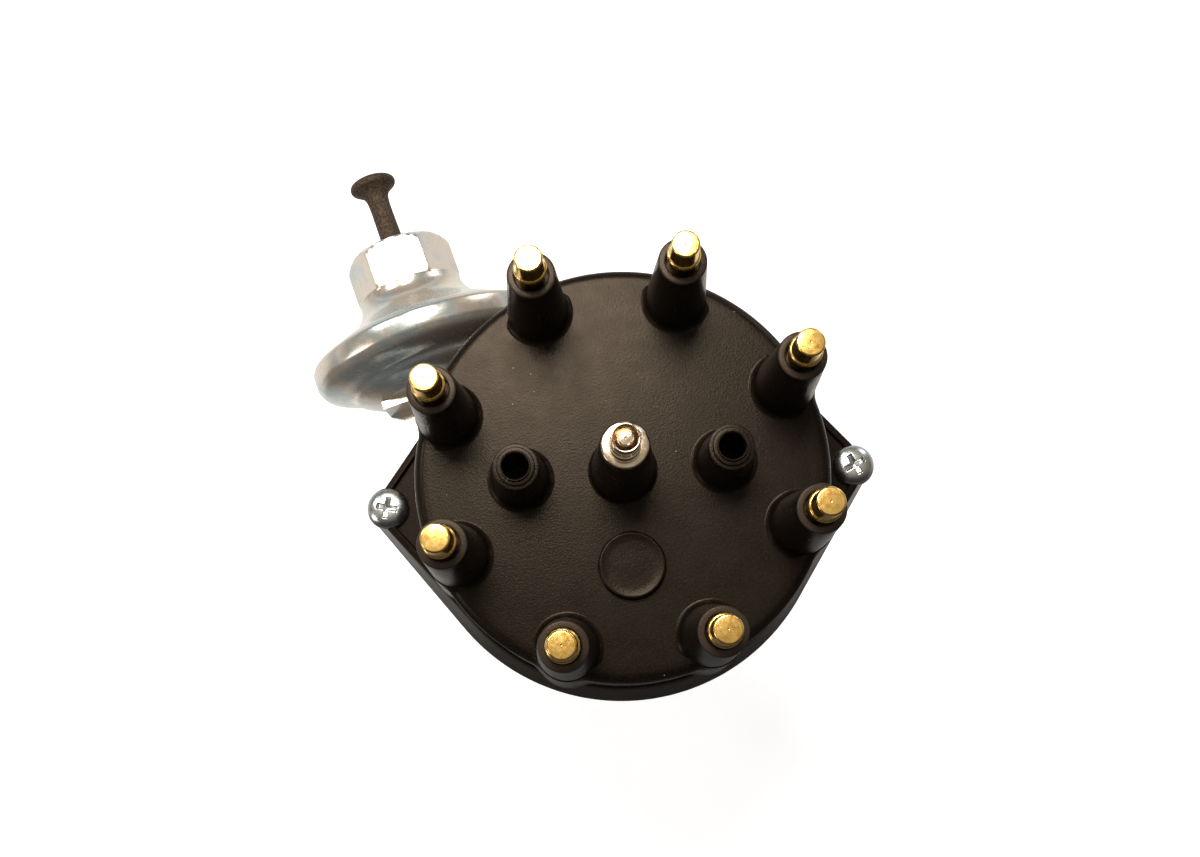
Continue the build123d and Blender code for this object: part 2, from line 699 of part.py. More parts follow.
# Pickup on its plate
def make_pickup():
    plate = tube(plate_r, journal_r + running, plate_z, plate_top_z)
    pin_x, pin_y = polar(rod_radius, rod_pin_angle)
    shoulder_z = canister_z - rod_thick / 2 - slip
    plate += upright(rod_pin_r + pin_collar, plate_z, shoulder_z, pin_x, pin_y)
    plate += upright(rod_pin_r, plate_z, canister_z + rod_thick / 2 + rod_pin_rise, pin_x, pin_y)
    foot_low = plate_top_z
    foot_top = foot_low + bracket_sheet
    half = pickup_width / 2
    screws = []
    for side in (-1, 1):
        x, y = bracket_reach + pickup_screw_reach, side * pickup_screw_pitch / 2
        hole = upright(pickup_screw_r, plate_z - 1, foot_top + 1, x, y)
        plate -= about_shaft(hole, pickup_angle)
        screw = pan_screw(pickup_screw_r, pickup_head_r, pickup_screw_head, foot_top - plate_z)
        screws.append(about_shaft(Pos(x, y, foot_top) * screw, pickup_angle))
    for angle in plate_holes:
        plate -= upright(plate_hole_r, plate_z - 1, plate_top_z + 1, *polar((plate_r + journal_r) / 2, angle))
    save("pickup_plate", plate)
    save("pickup_screws", *screws)
    ring_low = plate_top_z + slip
    ring = tube(plate_ring_r, journal_r, ring_low, ring_low + plate_ring)
    save("plate_retaining_ring", ring - block(0, plate_ring_r + 1, -2, 2, ring_low - 1, ring_low + 2))
    pole_mid = reluctor_z + reluctor_height / 2
    pole_low = pole_mid - pole_height / 2
    foot_in = plate_ring_r + foot_ring_gap
    bracket = block(foot_in, foot_reach, -half, half, foot_low, foot_top)
    bracket += block(upright_in_r, bracket_reach, -half, half, foot_low, pole_mid + pole_height)
    for side in (-1, 1):
        x, y = bracket_reach + pickup_screw_reach, side * pickup_screw_pitch / 2
        bracket -= upright(pickup_screw_r, foot_low - 1, foot_top + 1, x, y)
    bracket &= upright(foot_reach, foot_low - 1, pole_mid + 2 * pole_height)
    save("pickup_bracket", about_shaft(bracket, pickup_angle))
    pole_half = pole_width / 2
    tip = reluctor_r + air_gap
    pole = block(tip, upright_in_r, -pole_half, pole_half, pole_low, pole_low + pole_height)
    pole -= upright(tip, pole_low - 1, pole_low + 2 * pole_height)
    save("pole_piece", about_shaft(pole, pickup_angle))
    coil = block(coil_in_r, coil_in_r + coil_length, -coil_size / 2, coil_size / 2,
                 pole_mid - coil_size / 2, pole_mid + coil_size / 2)
    coil = fillet(coil.edges().filter_by(Axis.X), 2)
    coil -= block(coil_in_r - 1, coil_in_r + coil_length + 1, -pole_half, pole_half, pole_low, pole_low + pole_height)
    save("pickup_coil", about_shaft(coil, pickup_angle))
    magnet_half = half * magnet_width
    magnet = block(upright_in_r - magnet_thick, upright_in_r, -magnet_half, magnet_half, foot_top, pole_low)
    save("pickup_magnet", about_shaft(magnet, pickup_angle))


# Rotor
def make_rotor():
    disc_top = rotor_z + rotor_disc
    half = rotor_arm_width / 2
    rotor = upright(rotor_r, rotor_z, disc_top) + upright(rotor_hub_r, rotor_z, blade_z)
    rotor += block(0, rotor_reach, -half, half, disc_top - 1, blade_z) & upright(rotor_reach, rotor_z, blade_z)
    tail_half = half * rotor_tail_width
    rotor += block(-rotor_tail, 0, -tail_half, tail_half, disc_top - 1, blade_z - rotor_tail_step)
    rotor -= upright(cam_seat_r + rotor_hollow, rotor_z - 1, disc_top + 2)
    screw_spots = [polar(post_pitch_r, angle - rotor_turn) for angle in (0, 180)]
    for x, y in screw_spots:
        rotor -= upright(rotor_head_r + fit_gap, disc_top, blade_z + 1, x, y)
        rotor -= upright(rotor_screw_r, rotor_z - 1, disc_top + 1, x, y)
    save("rotor", about_shaft(rotor, rotor_turn))
    blade_half = blade_width / 2
    strip = block(0, blade_reach, -blade_half, blade_half, blade_z, blade_z + blade_thick)
    tip = block(rotor_reach, blade_reach, -blade_half, blade_half, blade_z - blade_tip, blade_z + blade_thick)
    blade = (strip + tip) & upright(blade_reach, blade_z - blade_tip - 1, blade_z + blade_thick + 1)
    blade += upright(blade_half, blade_z, blade_z + blade_thick)
    save("rotor_blade", about_shaft(blade, rotor_turn))
    screw = pan_screw(rotor_screw_r, rotor_head_r, rotor_head, rotor_screw_length)
    save("rotor_screws", *[about_shaft(Pos(x, y, disc_top) * screw, rotor_turn) for x, y in screw_spots])


# Vacuum canister
def make_canister():
    seam_r = rim_r - rim_wall
    lip_r = rim_r - rim_lip
    crimp_s = rim_s + shell_wall
    end_s = hex_s
    # the flare sweeps in from the rim to the nose ring, as a cone and a tangent arc
    knee = (nose_ring_r + flare_knee_r, nose_ring_s - flare_knee_r * flare_slope)
    flare = (lip_r - fit_gap, crimp_s)
    outer = [flare, knee, (nose_ring_r, nose_ring_s + 1)]
    inner = [(radius - shell_wall, s - shell_wall / 2) for radius, s in outer]
    hip = Vector(*flare) * (1 - flare_hip) + Vector(*knee) * flare_hip + Vector(0, flare_crown)
    hip = (hip.X, hip.Y)
    inner_hip = (hip[0] - shell_wall / 2, hip[1] - shell_wall)
    front = turned_points(flare, hip, knee, outer[2], (nose_ring_r, end_s), (0, end_s), (0, rim_s), (seam_r, rim_s),
                          (seam_r, crimp_s))
    front -= turned_points((0, rim_s - 1), (inner[0][0], rim_s - 1), inner[0], inner_hip, inner[1], inner[2],
                           (nose_ring_r - shell_wall, end_s - shell_wall), (0, end_s - shell_wall))
    front -= upright(nose_bore_r, end_s - 2 * shell_wall, end_s + 1)
    save("canister_front_shell", along_canister(front))

    step_s, skirt_s = back_s + rear_step, back_s + 2 * rear_step
    back = [(rear_face_r, back_s), (rear_step_r - rear_round * 0.55, step_s - rear_round), (rear_step_r, step_s)]
    back += swell((rear_step_r, step_s), (rim_r, skirt_s), 3)
    clamp_s = rim_s - diaphragm_sheet
    rim_top_s = crimp_s + rim_wall
    rear = turned_points((0, back_s), *back, (rim_r, rim_top_s), (lip_r, rim_top_s), (lip_r, crimp_s), (seam_r, crimp_s),
                         (seam_r, clamp_s), (0, clamp_s))
    rear = chamfer(ring_edges(rear, rim_r, rim_top_s), rim_wall / 2)
    lining = [(radius - shell_wall, s + shell_wall * 0.9) for radius, s in back[:-1]]
    rear -= turned_points((0, back_s + shell_wall), *lining, (seam_r - clamp_width, clamp_s + 1), (0, clamp_s + 1))
    rear -= upright(rod_hole_r, back_s - 1, back_s + 3)
    save("canister_rear_shell", along_canister(rear))

    sheet = diaphragm_sheet
    land_r = cup_r + diaphragm_land
    groove_s = clamp_s - diaphragm_groove
    web = tube(seam_r, land_r, clamp_s, rim_s)
    web += tube(land_r, land_r - sheet, groove_s, rim_s) + tube(land_r, cup_r, groove_s, groove_s + sheet)
    web += tube(cup_r + sheet, cup_r, groove_s, rim_s) + tube(cup_r + sheet, rod_eye_r - 1, clamp_s, rim_s)
    save("diaphragm", along_canister(web))
    cup_floor = rim_s + slip / 2
    cup = upright(cup_r - 1, cup_floor, cup_floor + cup_depth) - upright(cup_r - 2, cup_floor + 1, cup_floor + cup_depth + 1)
    save("diaphragm_cup", along_canister(cup))
    spring_low = cup_floor + 1
    adjuster_s = hex_s - adjuster_thick
    save("diaphragm_spring", along_canister(
        coil_spring(valve_spring_r, valve_spring_wire_r, spring_low, adjuster_s, 4)))
    adjuster = upright(adjuster_r, adjuster_s, hex_s) + upright(adjuster_stem_r, adjuster_s, hex_s + adjuster_stem)
    save("spring_adjuster", along_canister(adjuster))

    hex_body = extrude(RegularPolygon(hex_flats / 2, 6, major_radius=False), hex_length)
    bevel_rise = (hex_corner_r + 1 - hex_chamfer_r) * 0.5
    barrel = turned_points((0, 0), (hex_chamfer_r, 0), (hex_corner_r + 1, bevel_rise),
                           (hex_corner_r + 1, hex_length - bevel_rise), (hex_chamfer_r, hex_length), (0, hex_length))
    nose = Pos(0, 0, hex_s) * (hex_body & barrel) - upright(adjuster_stem_r, hex_s - 1, hex_s + adjuster_stem)
    nose -= upright(nipple_r, hex_s + adjuster_stem - 1, nose_s + 1)
    save("hex_nose", along_canister(nose))
    nipple_low = hex_s + nipple_base
    nipple = tube(nipple_r, nipple_bore_r, nipple_low, nipple_low + nipple_length)
    save("vacuum_nipple", along_canister(nipple))
    plug_end = nose_s + plug_length
    flare_s = plug_end - plug_head - plug_flare
    plug = turned(
        Polyline((0, nose_s), (plug_stem_r, nose_s), (plug_stem_r, flare_s)),
        Spline((plug_stem_r, flare_s), (plug_stem_r + plug_bell, flare_s + plug_flare * 0.7),
               (plug_head_r, plug_end - plug_head), tangents=((0, 1), (1, 1))),
        Polyline((plug_head_r, plug_end - plug_head), (plug_head_r, plug_end), (0, plug_end), (0, nose_s)))
    plug = plug - upright(nipple_r, nose_s - 1, nipple_low + nipple_length)
    save("port_plug", along_canister(plug))


def make_canister_carrier():
    # drawn on the +X side of the level frame, then mirrored to the canister's side
    wall_s = back_s - bracket_sheet
    tongue_start_s = shelf_s - tongue_length
    half = tongue_half
    flare_s = shelf_s - bracket_bend
    tongue_outline = Polygon(
        (rod_radius - half, shelf_s - shelf_length), (rod_radius + half, shelf_s - shelf_length),
        (rod_radius + half, flare_s),
        (rod_radius + bracket_half, wall_s), (rod_radius + bracket_half, back_s), (rod_radius - bracket_half, back_s),
        (rod_radius - bracket_half, wall_s), (rod_radius - half, flare_s), align=None)
    tongue = extrude(Pos(0, 0, tongue_z) * tongue_outline, bracket_sheet)
    tongue -= upright(bowl_r + fit_gap, tongue_z - 1, tongue_top_z + 1)
    tongue -= block(0, rod_radius + bracket_half, 0, tongue_start_s, tongue_z - 1, tongue_top_z + 1)
    back = block(rod_radius - bracket_half, rod_radius + bracket_half, wall_s, back_s, tongue_z, bracket_top_z)
    slot_half = rod_width / 2 + 3 * fit_gap
    slot_rise = rod_thick / 2 + 3 * fit_gap
    back -= block(rod_radius - slot_half, rod_radius + slot_half, wall_s - 1, back_s + 1,
                  canister_z - slot_rise, canister_z + slot_rise)
    bracket = tongue + back
    screws = []
    for side in (-1, 1):
        x = rod_radius + side * bracket_screw_pitch / 2
        bracket -= upright(bracket_screw_r, tongue_z - 1, tongue_top_z + 1, x, bracket_screw_s)
        screw = pan_screw(bracket_screw_r, bracket_head_r, bracket_head, bracket_screw_length)
        screws.append(abreast * shelf_mirror(Pos(x, bracket_screw_s, tongue_top_z) * screw))
    save("canister_bracket", abreast * shelf_mirror(bracket))
    save("canister_screws", *screws)
    rod_end = rim_s - diaphragm_sheet - slip
    rod_low = canister_z - rod_thick / 2
    rod_half = rod_width / 2
    rod = block(rod_radius - rod_half, rod_radius + rod_half, eye_s, rod_end, rod_low, rod_low + rod_thick)
    rod += upright(rod_eye_r, rod_low, rod_low + rod_thick, rod_radius, eye_s)
    rod -= upright(rod_pin_r + pin_play, rod_low - 1, rod_low + rod_thick + 1, rod_radius, eye_s)
    save("pull_rod", abreast * shelf_mirror(rod))


os.makedirs("parts", exist_ok=True)
save("distributor_cap", make_cap())
make_cap_fittings()
save("housing", make_housing())
make_housing_fittings()
make_shaft()
make_centre_cam()
make_advance()
make_pickup()
make_rotor()
make_canister()
make_canister_carrier()
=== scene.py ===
import bpy
import bmesh
import json
import math
from mathutils import Matrix, Vector


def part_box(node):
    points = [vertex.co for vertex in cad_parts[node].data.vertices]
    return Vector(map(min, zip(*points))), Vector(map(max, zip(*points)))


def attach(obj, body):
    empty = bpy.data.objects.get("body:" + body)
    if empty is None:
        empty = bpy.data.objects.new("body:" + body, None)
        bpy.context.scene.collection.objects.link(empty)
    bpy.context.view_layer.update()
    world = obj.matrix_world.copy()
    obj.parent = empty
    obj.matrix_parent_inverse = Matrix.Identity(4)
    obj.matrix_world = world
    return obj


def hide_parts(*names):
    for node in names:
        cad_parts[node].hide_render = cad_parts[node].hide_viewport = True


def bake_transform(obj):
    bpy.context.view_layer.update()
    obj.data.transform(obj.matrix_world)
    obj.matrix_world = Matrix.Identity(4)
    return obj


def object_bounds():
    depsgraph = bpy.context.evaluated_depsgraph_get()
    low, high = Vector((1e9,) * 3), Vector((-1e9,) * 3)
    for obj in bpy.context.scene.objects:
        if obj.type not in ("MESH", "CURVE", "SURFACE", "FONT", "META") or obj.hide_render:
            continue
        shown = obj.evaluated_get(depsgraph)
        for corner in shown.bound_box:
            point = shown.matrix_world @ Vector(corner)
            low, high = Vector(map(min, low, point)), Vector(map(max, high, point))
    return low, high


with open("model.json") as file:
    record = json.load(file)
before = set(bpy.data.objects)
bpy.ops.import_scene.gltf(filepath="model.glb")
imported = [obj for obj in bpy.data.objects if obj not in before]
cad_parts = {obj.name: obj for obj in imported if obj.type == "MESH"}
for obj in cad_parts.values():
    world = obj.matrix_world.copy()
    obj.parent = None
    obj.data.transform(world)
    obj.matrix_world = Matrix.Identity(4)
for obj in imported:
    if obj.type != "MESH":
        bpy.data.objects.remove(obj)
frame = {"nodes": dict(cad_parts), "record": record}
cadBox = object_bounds()
scene = bpy.context.scene
mm = 0.001
fullTurn = 2 * math.pi

# Real sizes are in millimetres, and where a piece stands comes from the frame.
capLow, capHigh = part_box("distributor_cap")
pinLow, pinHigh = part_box("plug_terminals")
jointZ = capLow.z / mm            # underside of the cap
capHeight = 38.0
capTopZ = jointZ + capHeight      # flat top of the cap
towerCount = 8
towerPhase = 22.5                 # degrees from +X to the first tower
towerPitch = 41.74                # radius of the circle that the towers stand on
towerAngles = [math.radians(towerPhase + 360 / towerCount * index) for index in range(towerCount)]
towerPlaces = [(towerPitch * math.cos(angle), towerPitch * math.sin(angle)) for angle in towerAngles]
sink = 0.02                       # how far a hidden edge lies inside its neighbour


# Camera
cameraSet = {
    "place": (-8.293, -44.394, 389.107),
    "lens": 38.77,
    "sensor": 36.0,
    "clip": (0.01, 50),           # metres
    "turns": (("Z", -0.0932), ("X", 0.1866), ("Y", 0.0035), ("Z", -0.0004)),   # radians
}


def makeCamera():
    data = bpy.data.cameras.new("camera")
    data.lens = cameraSet["lens"]
    data.sensor_width = cameraSet["sensor"]
    data.sensor_fit = "HORIZONTAL"
    data.clip_start, data.clip_end = cameraSet["clip"]
    camera = bpy.data.objects.new("camera", data)
    scene.collection.objects.link(camera)
    turn = Matrix.Identity(3)
    for axis, angle in cameraSet["turns"]:
        turn = turn @ Matrix.Rotation(angle, 3, axis)
    camera.matrix_world = Matrix.Translation(Vector(cameraSet["place"]) * mm) @ turn.to_4x4()
    scene.camera = camera


makeCamera()
print("camera placed")


# Floor, world and lamps
studio = {
    "floorSize": 12.0,            # metres
    "floorDrop": 0.4,             # millimetres below the shaft's end
    "floorColour": (0.86, 0.86, 0.85, 1),
    "floorLift": 0.56,            # added where the camera sees the floor
    "floorGlossLift": 0.06,       # added where a reflection sees it
    # painted shade: the colour that reflections find on the floor towards −Y
    "nearShadeColour": (0.06, 0.05, 0.04, 1),
    "nearShadeFloor": (-0.11, 0.0),    # metres along Y where reflections find the floor painted dark (painted shade), then pale
    "nearSky": (-0.6, 0.0),       # the same for the sky, as part of the ray's direction
    "nearShare": 0.15,            # how bright the sky stays on the dark side
    "worldLight": (0.97, 0.97, 1.0, 1),
    "worldLevel": 0.33,
    "skyStops": (
        # height of the reflected ray, and the colour that polished metal finds there
        (0.0, (1.0, 1.0, 1.0)),
        (0.06, (0.62, 0.6, 0.57)),
        (0.18, (0.2, 0.165, 0.13)),
        (0.7, (0.28, 0.23, 0.18)),
        (0.94, (0.5, 0.43, 0.34)),
    ),
    "lamps": (
        # name, place, width, height, power, colour
        ("key", (-0.05, 0.225, 0.64), 0.26, 0.25, 3.5, (1.0, 0.89, 0.76)),
        ("top", (-0.15, 0.45, 0.66), 0.16, 0.2, 0.9, (1.0, 0.94, 0.86)),
        ("left", (-0.41, 0.25, 0.54), 0.2, 0.2, 0.9, (1.0, 0.97, 0.9)),
        ("side", (-0.85, -0.3, 0.5), 0.3, 0.5, 1.6, (1.0, 0.9, 0.8)),
        ("back", (0.7, 0.7, 0.42), 0.3, 0.5, 1.2, (0.95, 0.97, 1.0)),
    ),
    "aim": (0, 0, 0.09),
}


def feed(tree, socket, value):
    # a plain value is set on the socket, anything else is linked to it
    if isinstance(value, (int, float, tuple)):
        socket.default_value = value
    else:
        tree.links.new(value, socket)


def rampOf(tree, value, low, high, outLow=0.0, outHigh=1.0):
    node = tree.nodes.new("ShaderNodeMapRange")
    node.inputs["From Min"].default_value = low
    node.inputs["From Max"].default_value = high
    node.inputs["To Min"].default_value = outLow
    node.inputs["To Max"].default_value = outHigh
    tree.links.new(value, node.inputs["Value"])
    return node.outputs[0]


def mathOf(tree, operation, *values):
    node = tree.nodes.new("ShaderNodeMath")
    node.operation = operation
    for socket, value in zip(node.inputs, values):
        feed(tree, socket, value)
    return node.outputs[0]


def rayShare(tree, level, glossLevel):
    # level where a camera or transmission ray looks, glossLevel where a glossy one does
    path = tree.nodes.new("ShaderNodeLightPath")
    seen = mathOf(tree, "MAXIMUM", path.outputs["Is Camera Ray"], path.outputs["Is Transmission Ray"])
    gloss = mathOf(tree, "MULTIPLY", path.outputs["Is Glossy Ray"], glossLevel)
    return mathOf(tree, "MULTIPLY_ADD", seen, level, gloss)


def makeFloor():
    bm = bmesh.new()
    bmesh.ops.create_grid(bm, x_segments=1, y_segments=1, size=studio["floorSize"] / 2)
    drop = cadBox[0].z - studio["floorDrop"] * mm
    bmesh.ops.translate(bm, verts=bm.verts, vec=(0, 0, drop))
    mesh = bpy.data.meshes.new("floor")
    bm.to_mesh(mesh)
    bm.free()
    floor = bpy.data.objects.new("floor", mesh)
    scene.collection.objects.link(floor)
    paint = bpy.data.materials.new("paleFloor")
    paint.use_nodes = True
    tree = paint.node_tree
    nodes, links = tree.nodes, tree.links
    nodes.clear()
    diffuse = nodes.new("ShaderNodeBsdfDiffuse")
    diffuse.inputs["Color"].default_value = studio["floorColour"]
    # painted shade: towards −Y, reflections find this dark floor instead of the pale one
    dark = nodes.new("ShaderNodeBsdfDiffuse")
    dark.inputs["Color"].default_value = studio["nearShadeColour"]
    coords = nodes.new("ShaderNodeTexCoord")
    split = nodes.new("ShaderNodeSeparateXYZ")
    links.new(coords.outputs["Object"], split.inputs[0])
    near = rampOf(tree, split.outputs["Y"], *studio["nearShadeFloor"], 1, 0)
    ground = nodes.new("ShaderNodeMixShader")
    links.new(mathOf(tree, "MULTIPLY", near, rayShare(tree, 0, 1)), ground.inputs[0])
    links.new(diffuse.outputs[0], ground.inputs[1])
    links.new(dark.outputs[0], ground.inputs[2])
    glow = nodes.new("ShaderNodeEmission")
    links.new(rayShare(tree, studio["floorLift"], studio["floorGlossLift"]), glow.inputs["Strength"])
    both = nodes.new("ShaderNodeAddShader")
    links.new(ground.outputs[0], both.inputs[0])
    links.new(glow.outputs[0], both.inputs[1])
    out = nodes.new("ShaderNodeOutputMaterial")
    links.new(both.outputs[0], out.inputs["Surface"])
    mesh.materials.append(paint)


def makeWorld():
    world = bpy.data.worlds.new("studio")
    scene.world = world
    world.use_nodes = True
    tree = world.node_tree
    nodes, links = tree.nodes, tree.links
    nodes.clear()
    coords = nodes.new("ShaderNodeTexCoord")
    split = nodes.new("ShaderNodeSeparateXYZ")
    links.new(coords.outputs["Generated"], split.inputs[0])
    sky = nodes.new("ShaderNodeValToRGB")
    sky.color_ramp.interpolation = "EASE"
    while len(sky.color_ramp.elements) < len(studio["skyStops"]):
        sky.color_ramp.elements.new(1)
    for stop, (height, colour) in zip(sky.color_ramp.elements, studio["skyStops"]):
        stop.position = height
        stop.color = (*colour, 1)
    links.new(split.outputs["Z"], sky.inputs[0])
    far = rampOf(tree, split.outputs["Y"], *studio["nearSky"], studio["nearShare"], 1)
    # what lights the part, what it reflects, and what the camera sees behind it
    tones = ((studio["worldLight"], studio["worldLevel"]), (sky.outputs[0], far), ((1, 1, 1, 1), 1))
    lights = []
    for colour, level in tones:
        light = nodes.new("ShaderNodeBackground")
        feed(tree, light.inputs["Strength"], level)
        feed(tree, light.inputs["Color"], colour)
        lights.append(light.outputs[0])
    surface = lights[0]
    for light, share in zip(lights[1:], (rayShare(tree, 0, 1), rayShare(tree, 1, 0))):
        mix = nodes.new("ShaderNodeMixShader")
        links.new(share, mix.inputs[0])
        links.new(surface, mix.inputs[1])
        links.new(light, mix.inputs[2])
        surface = mix.outputs[0]
    out = nodes.new("ShaderNodeOutputWorld")
    links.new(surface, out.inputs["Surface"])


def makeLamps():
    aim = Vector(studio["aim"])
    for name, place, width, height, power, colour in studio["lamps"]:
        data = bpy.data.lights.new(name, "AREA")
        data.shape = "ELLIPSE"
        data.size = width
        data.size_y = height
        data.energy = power
        data.color = colour
        lamp = bpy.data.objects.new(name, data)
        lamp.location = place
        lamp.rotation_euler = (aim - Vector(place)).to_track_quat("-Z", "Y").to_euler()
        scene.collection.objects.link(lamp)


makeFloor()
makeWorld()
makeLamps()
scene.view_settings.view_transform = "Standard"
print("studio lit")


# Material helpers
def newFinish(name, colour, metallic=0.0, roughness=0.5):
    paint = bpy.data.materials.new(name)
    paint.use_nodes = True
    shader = paint.node_tree.nodes["Principled BSDF"]
    shader.inputs["Base Color"].default_value = (*colour, 1)
    shader.inputs["Metallic"].default_value = metallic
    shader.inputs["Roughness"].default_value = roughness
    coords = paint.node_tree.nodes.new("ShaderNodeTexCoord")
    return paint, paint.node_tree, shader, coords.outputs["Object"]


def noiseOf(tree, vector, size, detail=3.0, roughness=0.5, stretch=None):
    # size is the pattern's feature size in millimetres
    if stretch:
        mapping = tree.nodes.new("ShaderNodeMapping")
        mapping.inputs["Scale"].default_value = stretch
        tree.links.new(vector, mapping.inputs["Vector"])
        vector = mapping.outputs[0]
    node = tree.nodes.new("ShaderNodeTexNoise")
    node.inputs["Scale"].default_value = 1 / (size * mm)
    node.inputs["Detail"].default_value = detail
    node.inputs["Roughness"].default_value = roughness
    tree.links.new(vector, node.inputs["Vector"])
    return node.outputs["Fac"]


def mixOf(tree, factor, a, b):
    node = tree.nodes.new("ShaderNodeMix")
    node.data_type = "RGBA"
    tree.links.new(factor, node.inputs[0])
    for socket, value in ((node.inputs[6], a), (node.inputs[7], b)):
        feed(tree, socket, (*value, 1) if isinstance(value, tuple) else value)
    return node.outputs[2]


def bumpOf(tree, shader, height, strength, depth):
    # depth is in millimetres
    node = tree.nodes.new("ShaderNodeBump")
    node.inputs["Strength"].default_value = strength
    node.inputs["Distance"].default_value = depth * mm
    tree.links.new(height, node.inputs["Height"])
    tree.links.new(node.outputs[0], shader.inputs["Normal"])


mouldingSet = {
    "specular": 0.14,
    "tint": (1, 0.86, 0.72, 1),
    "cloud": 26,                  # pattern sizes are in millimetres
    "cloudRange": (0.38, 0.66),
    "grainRange": (0.4, 0.7),
    "grainShare": 0.8,
    "grainLight": 1.8,            # the grain's tops against the light tone
    "edgeRange": (0.53, 0.62),
    "edgeLight": 2.2,             # sharp convex edges against the light tone
    "speckCell": 3.6,
    "speckSize": 0.035,           # share of a cell
    "speckPatch": 9,
    "speckAbove": 0.56,
    "speckColour": (0.34, 0.31, 0.27),
    "sheenPatch": 5,
    "sheenRange": (0.3, 0.7),
    "bump": 0.6,
    "bumpDepth": 0.055,
}


def paintMoulding(name, dark, light, grain=0.45, speck=True, sheen=(0.26, 0.33)):
    s = mouldingSet
    paint, tree, shader, place = newFinish(name, dark, 0, 0.4)
    shader.inputs["Specular IOR Level"].default_value = s["specular"]
    shader.inputs["Specular Tint"].default_value = s["tint"]
    cloud = rampOf(tree, noiseOf(tree, place, s["cloud"], 3), *s["cloudRange"])
    colour = mixOf(tree, cloud, dark, light)
    fine = noiseOf(tree, place, grain, 2)
    tops = rampOf(tree, fine, *s["grainRange"], 0, s["grainShare"])
    tone = mixOf(tree, tops, colour, tuple(c * s["grainLight"] for c in light))
    geometry = tree.nodes.new("ShaderNodeNewGeometry")
    # lighter along sharp convex edges, found by Pointiness
    sharpEdge = rampOf(tree, geometry.outputs["Pointiness"], *s["edgeRange"])
    tone = mixOf(tree, sharpEdge, tone, tuple(c * s["edgeLight"] for c in light))
    if speck:
        cell = tree.nodes.new("ShaderNodeTexVoronoi")
        cell.inputs["Scale"].default_value = 1 / (s["speckCell"] * mm)
        tree.links.new(place, cell.inputs["Vector"])
        spot = mathOf(tree, "LESS_THAN", cell.outputs["Distance"], s["speckSize"])
        pick = mathOf(tree, "GREATER_THAN", noiseOf(tree, place, s["speckPatch"], 1), s["speckAbove"])
        tone = mixOf(tree, mathOf(tree, "MULTIPLY", spot, pick), tone, s["speckColour"])
    tree.links.new(tone, shader.inputs["Base Color"])
    patches = rampOf(tree, noiseOf(tree, place, s["sheenPatch"], 4), *s["sheenRange"], *sheen)
    tree.links.new(patches, shader.inputs["Roughness"])
    bumpOf(tree, shader, fine, s["bump"], s["bumpDepth"])
    return paint


def paintByHeight(name, tones, below, height, rise, colour, specular):
    # a moulding with another tone below (or above) a height in millimetres
    paint = paintMoulding(name, *tones)
    tree = paint.node_tree
    shader = tree.nodes["Principled BSDF"]
    plain = shader.inputs["Base Color"].links[0].from_socket
    coords = tree.nodes.new("ShaderNodeTexCoord")
    split = tree.nodes.new("ShaderNodeSeparateXYZ")
    tree.links.new(coords.outputs["Object"], split.inputs[0])
    share = rampOf(tree, split.outputs["Z"], height * mm, (height + rise) * mm)
    first, second = (colour, plain) if below else (plain, colour)
    tree.links.new(mixOf(tree, share, first, second), shader.inputs["Base Color"])
    shader.inputs["Specular IOR Level"].default_value = specular
    return paint


metalSet = {"cloudRange": (0.35, 0.7), "grainRange": (0.3, 0.7), "bump": 0.1}


def paintMetal(name, colour, dull, roughness, spread, grain, depth, stretch=None, cloudSize=8):
    # mottled metal: colour drifts to dull, roughness wanders by spread, grain is the bump's size
    s = metalSet
    paint, tree, shader, place = newFinish(name, colour, 1, roughness)
    cloud = rampOf(tree, noiseOf(tree, place, cloudSize, 4, 0.6), *s["cloudRange"])
    tree.links.new(mixOf(tree, cloud, colour, dull), shader.inputs["Base Color"])
    fine = noiseOf(tree, place, grain, 3, 0.6, stretch)
    level = rampOf(tree, fine, *s["grainRange"], roughness - spread, roughness + spread)
    tree.links.new(level, shader.inputs["Roughness"])
    bumpOf(tree, shader, fine, s["bump"], depth)
    return paint


brassSet = {
    "bright": (0.9, 0.62, 0.2),
    "stain": (0.7, 0.42, 0.1),
    "blotch": 1.4,
    "blotchRange": (0.5, 0.64),
    "fine": 0.8,
    "fineRange": (0.35, 0.7),
    "roughness": (0.17, 0.27),
    "dent": 2.4,
    "dentDepth": 0.008,
}


def paintBrass():
    s = brassSet
    paint, tree, shader, place = newFinish("brass", (0.87, 0.58, 0.18), 1, 0.22)
    blotch = rampOf(tree, noiseOf(tree, place, s["blotch"], 5, 0.7), *s["blotchRange"])
    tree.links.new(mixOf(tree, blotch, s["bright"], s["stain"]), shader.inputs["Base Color"])
    fine = rampOf(tree, noiseOf(tree, place, s["fine"], 3, 0.6), *s["fineRange"], *s["roughness"])
    tree.links.new(fine, shader.inputs["Roughness"])
    bumpOf(tree, shader, noiseOf(tree, place, s["dent"], 2, 0.5), 0.2, s["dentDepth"])
    return paint


plateSet = {
    "warm": (0.66, 0.61, 0.54),
    "cool": (0.5, 0.57, 0.58),
    "drift": 13,
    "driftRange": (0.46, 0.62),
    "fine": 2.2,
    "fineRange": (0.35, 0.65),
    "roughness": (0.2, 0.28),
    "wave": 9,
    "waveDepth": 0.12,
}


def paintCanister():
    # bright plate with faint warm and cool drifts
    s = plateSet
    paint, tree, shader, place = newFinish("canisterPlate", (0.63, 0.6, 0.54), 0.8, 0.24)
    drift = rampOf(tree, noiseOf(tree, place, s["drift"], 2, 0.5), *s["driftRange"])
    tree.links.new(mixOf(tree, drift, s["warm"], s["cool"]), shader.inputs["Base Color"])
    fine = rampOf(tree, noiseOf(tree, place, s["fine"], 3, 0.5), *s["fineRange"], *s["roughness"])
    tree.links.new(fine, shader.inputs["Roughness"])
    bumpOf(tree, shader, noiseOf(tree, place, s["wave"], 2, 0.5), 0.25, s["waveDepth"])
    return paint


